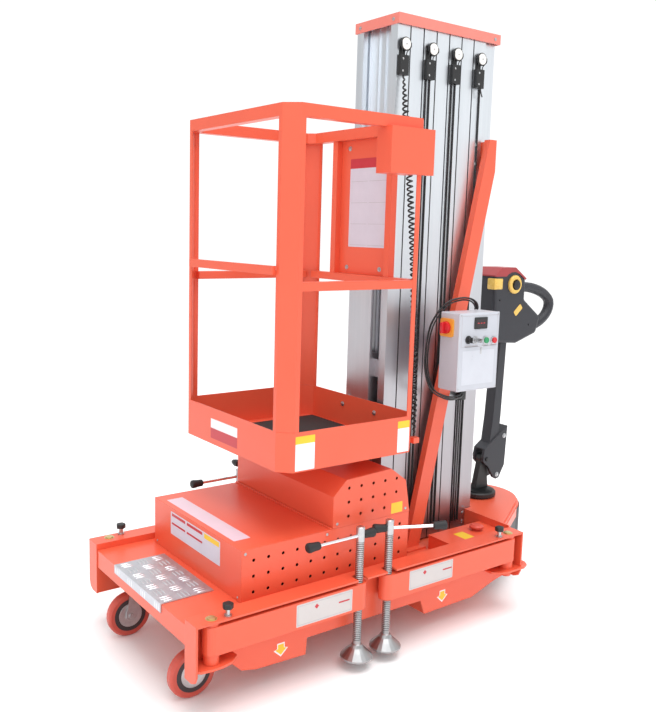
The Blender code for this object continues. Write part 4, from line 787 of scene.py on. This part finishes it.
plates("sign_bands_red", "chassis", "red printed vinyl", [
    ((x, BAND_Y, z), FRONT, UP, width, height, 0.001)
    for z, height in ((0.397, 0.009), (0.369, 0.006)) for x, width in ((-0.105, 0.090), (0.000, 0.098))])
plates("sign_bands_yellow", "chassis", "yellow printed vinyl", [
    ((0.105, BAND_Y, 0.395), FRONT, UP, 0.088, 0.015, 0.001)])
# Picture fields of the instruction sheet, kept as pale grey panes
plates("sheet_panes", "basket", "grey printed vinyl", [
    ((0.016 + column * 0.046, -0.0949, 1.470 - row * 0.070), FRONT, UP, 0.084, 0.0012, 0.0004)
    for column in (-1, 1) for row in range(4)], thick=0.0002)
print("pieces so far:", len(PIECES))

# %% Plates on the outrigger arms
ARM_X, ON_PLATE_X = 0.366, 0.3664
# y, z, width, height, which arm
ARM_PLATES = ((-0.4965, 0.231, 0.201, 0.066, "front"), (-0.073, 0.234, 0.190, 0.062, "rear"))
# The printed frame line is 1.2 mm wide and lies 5 mm inside the plate's edge
LINE, INSIDE, LINE_SHORTER = 0.0012, 0.005, 0.008
for y, z, width, height, word in ARM_PLATES:
    body = f"outrigger_{word}_right"
    plates(f"arm_plate_{word}", body, "silver vinyl label", [((ARM_X, y, z), RIGHT, UP, width, height, 0.003)])
    rim = [((ON_PLATE_X, y, z + up * (height / 2 - INSIDE)), RIGHT, UP, width - LINE_SHORTER, LINE, 0.0005)
           for up in (-1, 1)]
    rim += [((ON_PLATE_X, y + along * (width / 2 - INSIDE), z), RIGHT, UP, LINE, height - LINE_SHORTER, 0.0005)
            for along in (-1, 1)]
    plates(f"arm_plate_rim_{word}", body, "grey printed vinyl", rim, thick=0.0002)
    # A red square on its corner, and a short red bar behind it
    plates(f"arm_plate_mark_{word}", body, "red printed vinyl", [
        ((ON_PLATE_X, y - 0.030, z + 0.014), RIGHT, (0, 1, 1), 0.011, 0.011, 0.001),
        ((ON_PLATE_X, y + 0.070, z + 0.004), RIGHT, UP, 0.040, 0.0045, 0.001)], thick=0.0002)
print("pieces so far:", len(PIECES))

# %% Yellow arrows under the lifting points of the side plates
ARROW = ((0, -0.019), (0.019, -0.002), (0.010, 0.001), (0.010, 0.013), (-0.010, 0.013), (-0.010, 0.001),
         (-0.019, -0.002))
ARROW_YS, ARROW_Z, ARROW_FACES_X = (-0.609, 0.039), 0.1155, (0.3098, 0.3102)
BORDER_GROWS, ON_BORDER = 1.30, 0.0004
arrows, borders = bmesh.new(), bmesh.new()
for y in ARROW_YS:
    for side in (-1, 1):
        for grow, out, made in ((BORDER_GROWS, 0.0, borders), (1.0, ON_BORDER, arrows)):
            skin(made, [[made.verts.new((side * (x + out), y + a * grow, ARROW_Z + b * grow)) for a, b in ARROW]
                        for x in ARROW_FACES_X])
from_bmesh("lift_arrow_borders", borders, "chassis", "white vinyl label", False)
from_bmesh("lift_arrows", arrows, "chassis", "yellow printed vinyl", False)
print("pieces so far:", len(PIECES))

# %% [markdown]
# ## Ground control box
# A grey enamelled case on the side of the mast: a red and yellow main switch
# on its front edge, and on its face a display, a selector, a key switch with
# its key, and a green and a red button over a blank plate. Flat discs could
# stand for the controls. As turned parts of a few millimetres, proud of a thin
# frame line, they cast the small shadows that make a panel look real.

# %% Face of the control box
FACE_X = 0.303
FRAME_LINE, FRAME_CORNER = 0.0014, 0.0006
plates("box_plate", "chassis", "pale panel vinyl", [((FACE_X, 0.1595, 0.873), RIGHT, UP, 0.150, 0.112, 0.003)])
frame_lines = [((FACE_X, 0.1595, z), RIGHT, UP, 0.168, FRAME_LINE, FRAME_CORNER) for z in (1.043, 0.942)]
frame_lines += [((FACE_X, y, 0.9925), RIGHT, UP, FRAME_LINE, 0.1024, FRAME_CORNER) for y in (0.0755, 0.2435)]
frame_lines += [((FACE_X, y, 0.944), RIGHT, UP, 0.030, 0.0050, FRAME_CORNER) for y in (0.107, 0.139, 0.188, 0.227)]
plates("box_lines", "chassis", "grey printed vinyl", frame_lines, thick=0.0003)
DISPLAY_Y, DISPLAY_Z = 0.162, 1.0185
plates("display_bezel", "chassis", "black moulded plastic", [
    ((FACE_X, DISPLAY_Y, DISPLAY_Z), RIGHT, UP, 0.060, 0.038, 0.003)], thick=0.0030)
plates("display_window", "chassis", "smoked display window", [
    ((FACE_X + 0.0030, DISPLAY_Y, DISPLAY_Z), RIGHT, UP, 0.048, 0.027, 0.002)])
# Three dim red digit bars, without a reading
plates("display_bars", "chassis", "red printed vinyl", [
    ((FACE_X + 0.0033, 0.149 + 0.013 * i, DISPLAY_Z), RIGHT, UP, 0.008, 0.0030, 0.0008) for i in range(3)],
    thick=0.0002)
print("pieces so far:", len(PIECES))

# %% Switches, buttons and keys
COLLAR = [(0, 0.0135), (0.003, 0.0135), (0.004, 0.0115), (0.0045, 0.0115)]
BUTTON = [(0.004, 0.0100), (0.0085, 0.0100), (0.0100, 0.0085)]
CONTROLS = (  # name, y, z, collar finish, knob finish, knob profile
    ("selector", 0.107, 0.966, "black moulded plastic", "black moulded plastic",
     [(0.004, 0.0095), (0.013, 0.009), (0.0145, 0.0075)]),
    ("key_switch", 0.139, 0.964, "zinc plated steel", "zinc plated steel",
     [(0.004, 0.0098), (0.009, 0.0095), (0.0095, 0.0030)]),
    ("green_button", 0.188, 0.961, "zinc plated steel", "glossy green plastic", BUTTON),
    ("red_button", 0.227, 0.959, "zinc plated steel", "glossy red plastic", BUTTON),
)
for name, y, z, collar, knob, profile in CONTROLS:
    lathe(name + "_collar", "chassis", collar, [((FACE_X, y, z), (1, 0, 0), COLLAR)])
    lathe(name, "chassis", knob, [((FACE_X, y, z), (1, 0, 0), profile)])
blocks("selector_bar", "chassis", "black moulded plastic", [((0.316, 0.1045, 0.957), (0.321, 0.1095, 0.975))])
blocks("key", "chassis", "zinc plated steel", [((0.312, 0.1378, 0.957), (0.333, 0.1402, 0.971))], edge=0.0006)
RING_STEPS, RING_RADIUS = 24, 0.011
tubes("key_ring", "chassis", "zinc plated steel", [[
    Vector((0.331, 0.139 + RING_RADIUS * math.sin(t), 0.954 + RING_RADIUS * math.cos(t)))
    for t in [2 * math.pi * i / RING_STEPS for i in range(RING_STEPS)]]], 0.0007, 6)
blocks("spare_key", "chassis", "zinc plated steel", [((0.3298, 0.1355, 0.922), (0.3318, 0.1425, 0.944))], edge=0.0006)
MAIN_SWITCH_X, MAIN_SWITCH_Z = 0.2500, 1.003
plates("main_switch_plate", "chassis", "orange yellow plastic", [
    ((MAIN_SWITCH_X, 0.0656, MAIN_SWITCH_Z), FRONT, UP, 0.056, 0.060, 0.008)], thick=0.0070)
lathe("main_switch_dial", "chassis", "glossy red plastic", [
    ((MAIN_SWITCH_X, 0.0580, MAIN_SWITCH_Z), (0, -1, 0), [(0, 0.0205), (0.010, 0.0195), (0.013, 0.0150)])], 32)
blocks("main_switch_grip", "chassis", "glossy red plastic", [((0.2455, 0.0330, 0.985), (0.2545, 0.0480, 1.021))])
screws("box_screws", "chassis", "zinc plated steel", [
    ((FACE_X, y, z), (1, 0, 0), 3.2) for y in (0.0725, 0.2465) for z in (0.8045, 1.0455)])
blocks("box_lid_edge", "chassis", "light grey enamel", [((0.2955, 0.0648, 0.7963), (0.3015, 0.2542, 1.0527))],
       edge=0.0015)
print("pieces so far:", len(PIECES))

# %% [markdown]
# ## Cable bundle of the control box
# Three separate leads leave the top of the box, loop over its front edge and
# run down to a clip on the fixed mast section. One thick tube would look like
# a hose. In the fixed frame they are one round bundle, so three strands twist
# slowly inside that bundle here, and two of them go on down the mast below the
# clip.

# %% Three leads
BUNDLE_ROUTE = ((0.235, 0.212, 1.055), (0.2350, 0.2115, 1.066), (0.2330, 0.2040, 1.080), (0.2275, 0.186, 1.0895),
                (0.2150, 0.152, 1.0900), (0.198, 0.106, 1.072), (0.185, 0.060, 1.010), (0.182, 0.043, 0.930),
                (0.182, 0.046, 0.850), (0.184, 0.075, 0.785), (0.180, 0.150, 0.748), (0.160, 0.225, 0.738),
                (0.112, 0.2945, 0.735))
# The strands lie 5.2 mm off the middle line, come and go by 1 mm, and turn once round it in 250 points
SPREAD, SPREAD_SWING, TWIST = 0.0052, 0.0010, 0.004
bundle_line = smooth_route(BUNDLE_ROUTE, 8)
leads = []
for strand in range(3):
    lead = []
    for i, point in enumerate(bundle_line):
        ahead = ahead_at(bundle_line, i)
        across = Vector((1, 0, 0)) - ahead * ahead.x
        across.normalize()
        side = ahead.cross(across)
        turn = 2 * math.pi * (strand / 3 + TWIST * i)
        # Each strand swings at its own phase, so they don't look like one rope
        spread = SPREAD + SPREAD_SWING * math.sin(i * 0.23 + strand * 2.1)
        lead.append(point + spread * (across * math.cos(turn) + side * math.sin(turn)))
    leads.append(lead)
# Radius of one lead
LEAD = 0.0027
for number, lead in enumerate(leads, 1):
    loop = tubes(f"control_lead_{number}", "chassis", "black cable jacket", [lead], LEAD, 8)
strands = tubes("control_leads_down", "chassis", "black cable jacket", [
    [Vector((0.1045, y, z)) for z in (0.725, 0.500, 0.260)] for y in (0.2865, 0.2985)], LEAD, 8)
blocks("lead_clip", "chassis", "black moulded plastic", [((0.1003, 0.2785, 0.715), (0.1223, 0.3075, 0.755))],
       edge=0.003)
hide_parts("control_cable")
print("leads:", len(leads))

# %% [markdown]
# ## Tiller head
# The drive unit is steered with a moulded charcoal head: a red cap over its
# top, a yellow horn button, a yellow travel dial on each side and a loop to
# hold on to. Its foot turns on a zinc bolt. The cap could be painted on, but
# the real one is a second moulding with a step at its rim, so it's drawn as a
# side view and pushed across the head, with its two ends drawn in a little.

# %% Red cap of the tiller
# Side view of the cap, y and z, down its front, over the top and back along its lower rim
CAP_LINE = [(0.5118, 1.1500), (0.5122, 1.1548), (0.5300, 1.1690), (0.5490, 1.1835), (0.6265, 1.1835), (0.6600, 1.1615),
            (0.6912, 1.1410), (0.6840, 1.1360), (0.6680, 1.1475), (0.6510, 1.1580), (0.6270, 1.1665), (0.6040, 1.1655),
            (0.5860, 1.1585), (0.5760, 1.1500)]
# x of each ring across the head, and how far it swells
CAP_RINGS = ((-0.0492, 0.0), (-0.0470, 0.0012), (0.0470, 0.0012), (0.0492, 0.0))
bm = bmesh.new()
skin(bm, [[bm.verts.new((x, y + swell * 0.2, z + swell * 0.4)) for y, z in CAP_LINE] for x, swell in CAP_RINGS])
from_bmesh("tiller_top", bm, "tiller", "dull red plastic")
print("pieces so far:", len(PIECES))

# %% Dials, horn, collar and bolts
blocks("horn", "tiller", "gold moulded plastic", [((0.0120, 0.5090, 1.101), (0.0502, 0.5570, 1.1435))], edge=0.005)
DIAL_X = 0.0473
DIAL = [(0, 0.0355), (0.006, 0.0350), (0.010, 0.0310), (0.0110, 0.0250), (0.0095, 0.0210), (0.0020, 0.0200)]
DIAL_HUB = [(0.0015, 0.0190), (0.0105, 0.0185), (0.0120, 0.0150)]
for side, word in SIDES:
    lathe(f"travel_dial_{word}", "tiller", "gold moulded plastic", [
        ((side * DIAL_X, 0.6230, 1.1190), (side, 0, 0), DIAL)], 36)
    lathe(f"travel_hub_{word}", "tiller", "black moulded plastic", [
        ((side * DIAL_X, 0.6290, 1.1170), (side, 0, 0), DIAL_HUB)], 28)
    screws(f"head_screws_{word}", "tiller", "black oxide steel", [
        ((side * 0.048, y, z), (side, 0, 0), 3.6) for y, z in ((0.540, 0.925), (0.545, 1.060), (0.720, 0.960))])
plates("tiller_label", "tiller", "gold moulded plastic", [
    ((0.048, 0.6520, 1.0200), RIGHT, (0, 0.76, 0.65), 0.022, 0.048, 0.005)], thick=0.0012)
lathe("loop_collar", "tiller", "gold moulded plastic", [
    ((0, 0.6880, 1.1066), (0, 1, -0.06), [(0, 0.0235), (0.002, 0.0245), (0.022, 0.0245), (0.025, 0.0232)])], 28)
hex_bolts("tiller_bolts", "tiller", "zinc plated steel", [
    ((side * 0.0275, y, z), (side, 0, 0), 7.0, 4.5) for side in (-1, 1) for y, z in ((0.6085, 0.367), (0.640, 0.520))])
print("pieces so far:", len(PIECES))

# %% [markdown]
# ## Drive cover and bumper
# A moulded charcoal skirt 3 mm thick wraps the tail of the drive cover above
# the bumper, and button-head screws hold it. A slice of a tube would have
# square corners. So it's made of upright columns side by side, whose height
# falls away at both ends along a quarter circle, as the real one's does.

# %% Bumper skirt
TAIL_CENTRE, SKIRT_INNER, SKIRT_OUTER = Vector((0, 0.5325, 0)), 0.1603, 0.1632
SKIRT_LOW, SKIRT_HIGH, SKIRT_CORNER = 0.132, 0.268, 0.020
bm = bmesh.new()
# Close columns at both round corners, wide ones between
angles = [math.radians(a) for a in (-2, -1, 0, 1, 2, 3, 4, 5.5, *range(8, 173, 4), 174.5, 176, 177, 178, 179, 180, 181,
                                    182)]
columns = []
for angle in angles:
    ahead = Vector((math.cos(angle), math.sin(angle), 0))
    from_end = min(angle - angles[0], angles[-1] - angle) * SKIRT_OUTER
    short = max(0.0, SKIRT_CORNER - from_end)
    top = SKIRT_HIGH - SKIRT_CORNER + math.sqrt(SKIRT_CORNER ** 2 - short ** 2)
    corners = ((SKIRT_INNER, SKIRT_LOW), (SKIRT_OUTER, SKIRT_LOW), (SKIRT_OUTER, top), (SKIRT_INNER, top))
    columns.append([bm.verts.new(TAIL_CENTRE + ahead * radius + RISE * z) for radius, z in corners])
skin(bm, columns)
from_bmesh("bumper_skirt", bm, "chassis", "charcoal moulded plastic")
print("columns of the skirt:", len(columns))

# %% Bumper screws, steering ring and foot bolts
rows = []
for angle in (5, 62, 118, 175):
    direction = Vector((math.cos(math.radians(angle)), math.sin(math.radians(angle)), 0))
    rows += [(TAIL_CENTRE + direction * SKIRT_OUTER + RISE * z, direction, 4.6) for z in (0.152, 0.246)]
screws("bumper_screws", "chassis", "zinc plated steel", rows)
lathe("steer_collar_ring", "steering", "black oxide steel", [
    ((0, 0.5325, 0.3128), (0, 0, 1), [(0, 0.058), (0.004, 0.057), (0.006, 0.050)])], 40)
FOOT_Y = 0.350
hex_bolts("foot_bolts", "chassis", "zinc plated steel", [
    ((side * 0.096, FOOT_Y, z), (side, 0, 0), 6.0, 4.5) for side in (-1, 1) for z in (0.245, 0.278)] + [
    ((side * 0.128, FOOT_Y, 0.2213), (0, 0, 1), 6.0, 4.5) for side in (-1, 1)])
print("pieces in all:", len(PIECES))

# %% [markdown]
# ## Floor and soft light
# The machine stands on a sheet of pale paper, lit as for a catalogue: pale,
# even, with one soft shadow. Lamps alone could do it, but bare metal mirrors
# whatever is round it, so most of the light is a white sky. One quarter of
# that sky is dim, and the mast's front mirrors it, which parts its front from
# its side. The large lamp hangs 9 m up, well above the fully raised basket.

# %% Floor
PAPER_HALF = 9.0
grained("pale studio paper", "#FFFFFF", "#FCFCFD", 4.0, 0.02, 900, roughness=0.75)
bm = bmesh.new()
bmesh.ops.create_grid(bm, x_segments=1, y_segments=1, size=PAPER_HALF)
floor = bpy.data.objects.new("floor", mesh_of("paper", bm))
floor.data.materials.append(FINISHES["pale studio paper"])
put_in_scene(floor)
print("paper:", 2 * PAPER_HALF, "m square")

# %% Sky
# The dim quarter lies to the front left: outside its rim the sky has the first strength, in its middle the second
DIM_TOWARDS = Vector((-0.74, -0.66, 0.10))
SKY_STRENGTH, DIM_STRENGTH, BACKDROP = 0.98, 0.60, 1.08
sky = bpy.data.worlds.new("soft sky")
sky.use_nodes = True
sky_tree = sky.node_tree
outward = add(sky_tree, "ShaderNodeTexCoord")
towards = add(sky_tree, "ShaderNodeVectorMath", {0: outward.outputs["Generated"]}, operation="DOT_PRODUCT")
towards.inputs[1].default_value = DIM_TOWARDS.normalized()
dim = add(sky_tree, "ShaderNodeMapRange", {"Value": towards.outputs["Value"]}, interpolation_type="SMOOTHSTEP",
          From_Min=0.60, From_Max=0.95, To_Min=SKY_STRENGTH, To_Max=DIM_STRENGTH)
# Seen straight, the sky stays white all round: only light and reflections have the dim quarter
seen = add(sky_tree, "ShaderNodeLightPath")
backdrop = add(sky_tree, "ShaderNodeMix", {"Factor": seen.outputs["Is Camera Ray"], "A": dim.outputs["Result"]},
               B=BACKDROP)
sky_tree.links.new(backdrop.outputs["Result"], sky_tree.nodes["Background"].inputs["Strength"])
sky_tree.nodes["Background"].inputs["Color"].default_value = linear("#FFFFFF")
bpy.context.scene.world = sky
print("sky:", SKY_STRENGTH, "down to", DIM_STRENGTH)

# %% Lamps
# Name, place, aim, width, height, watts
LAMPS = (
    ("key", (3.2, -2.6, 3.6), (0.0, 0.0, 0.8), 2.4, 2.4, 20),
    ("front fill", (0.9, -4.4, 2.0), (0.0, -0.2, 0.8), 2.4, 2.2, 9),
    ("head light", (1.26, 0.0, 9.0), (0.2, 0.0, 0.3), 7.6, 7.6, 640),
)
for name, place, aim, width, height, power in LAMPS:
    glow = bpy.data.lights.new(name, "AREA")
    glow.shape, glow.size, glow.size_y, glow.energy = "RECTANGLE", width, height, power
    lamp = bpy.data.objects.new(name, glow)
    lamp.matrix_world = aimed(place, Vector(place) - Vector(aim))
    put_in_scene(lamp)
bpy.context.scene.view_settings.view_transform = "Standard"
print("lamps:", len(LAMPS))
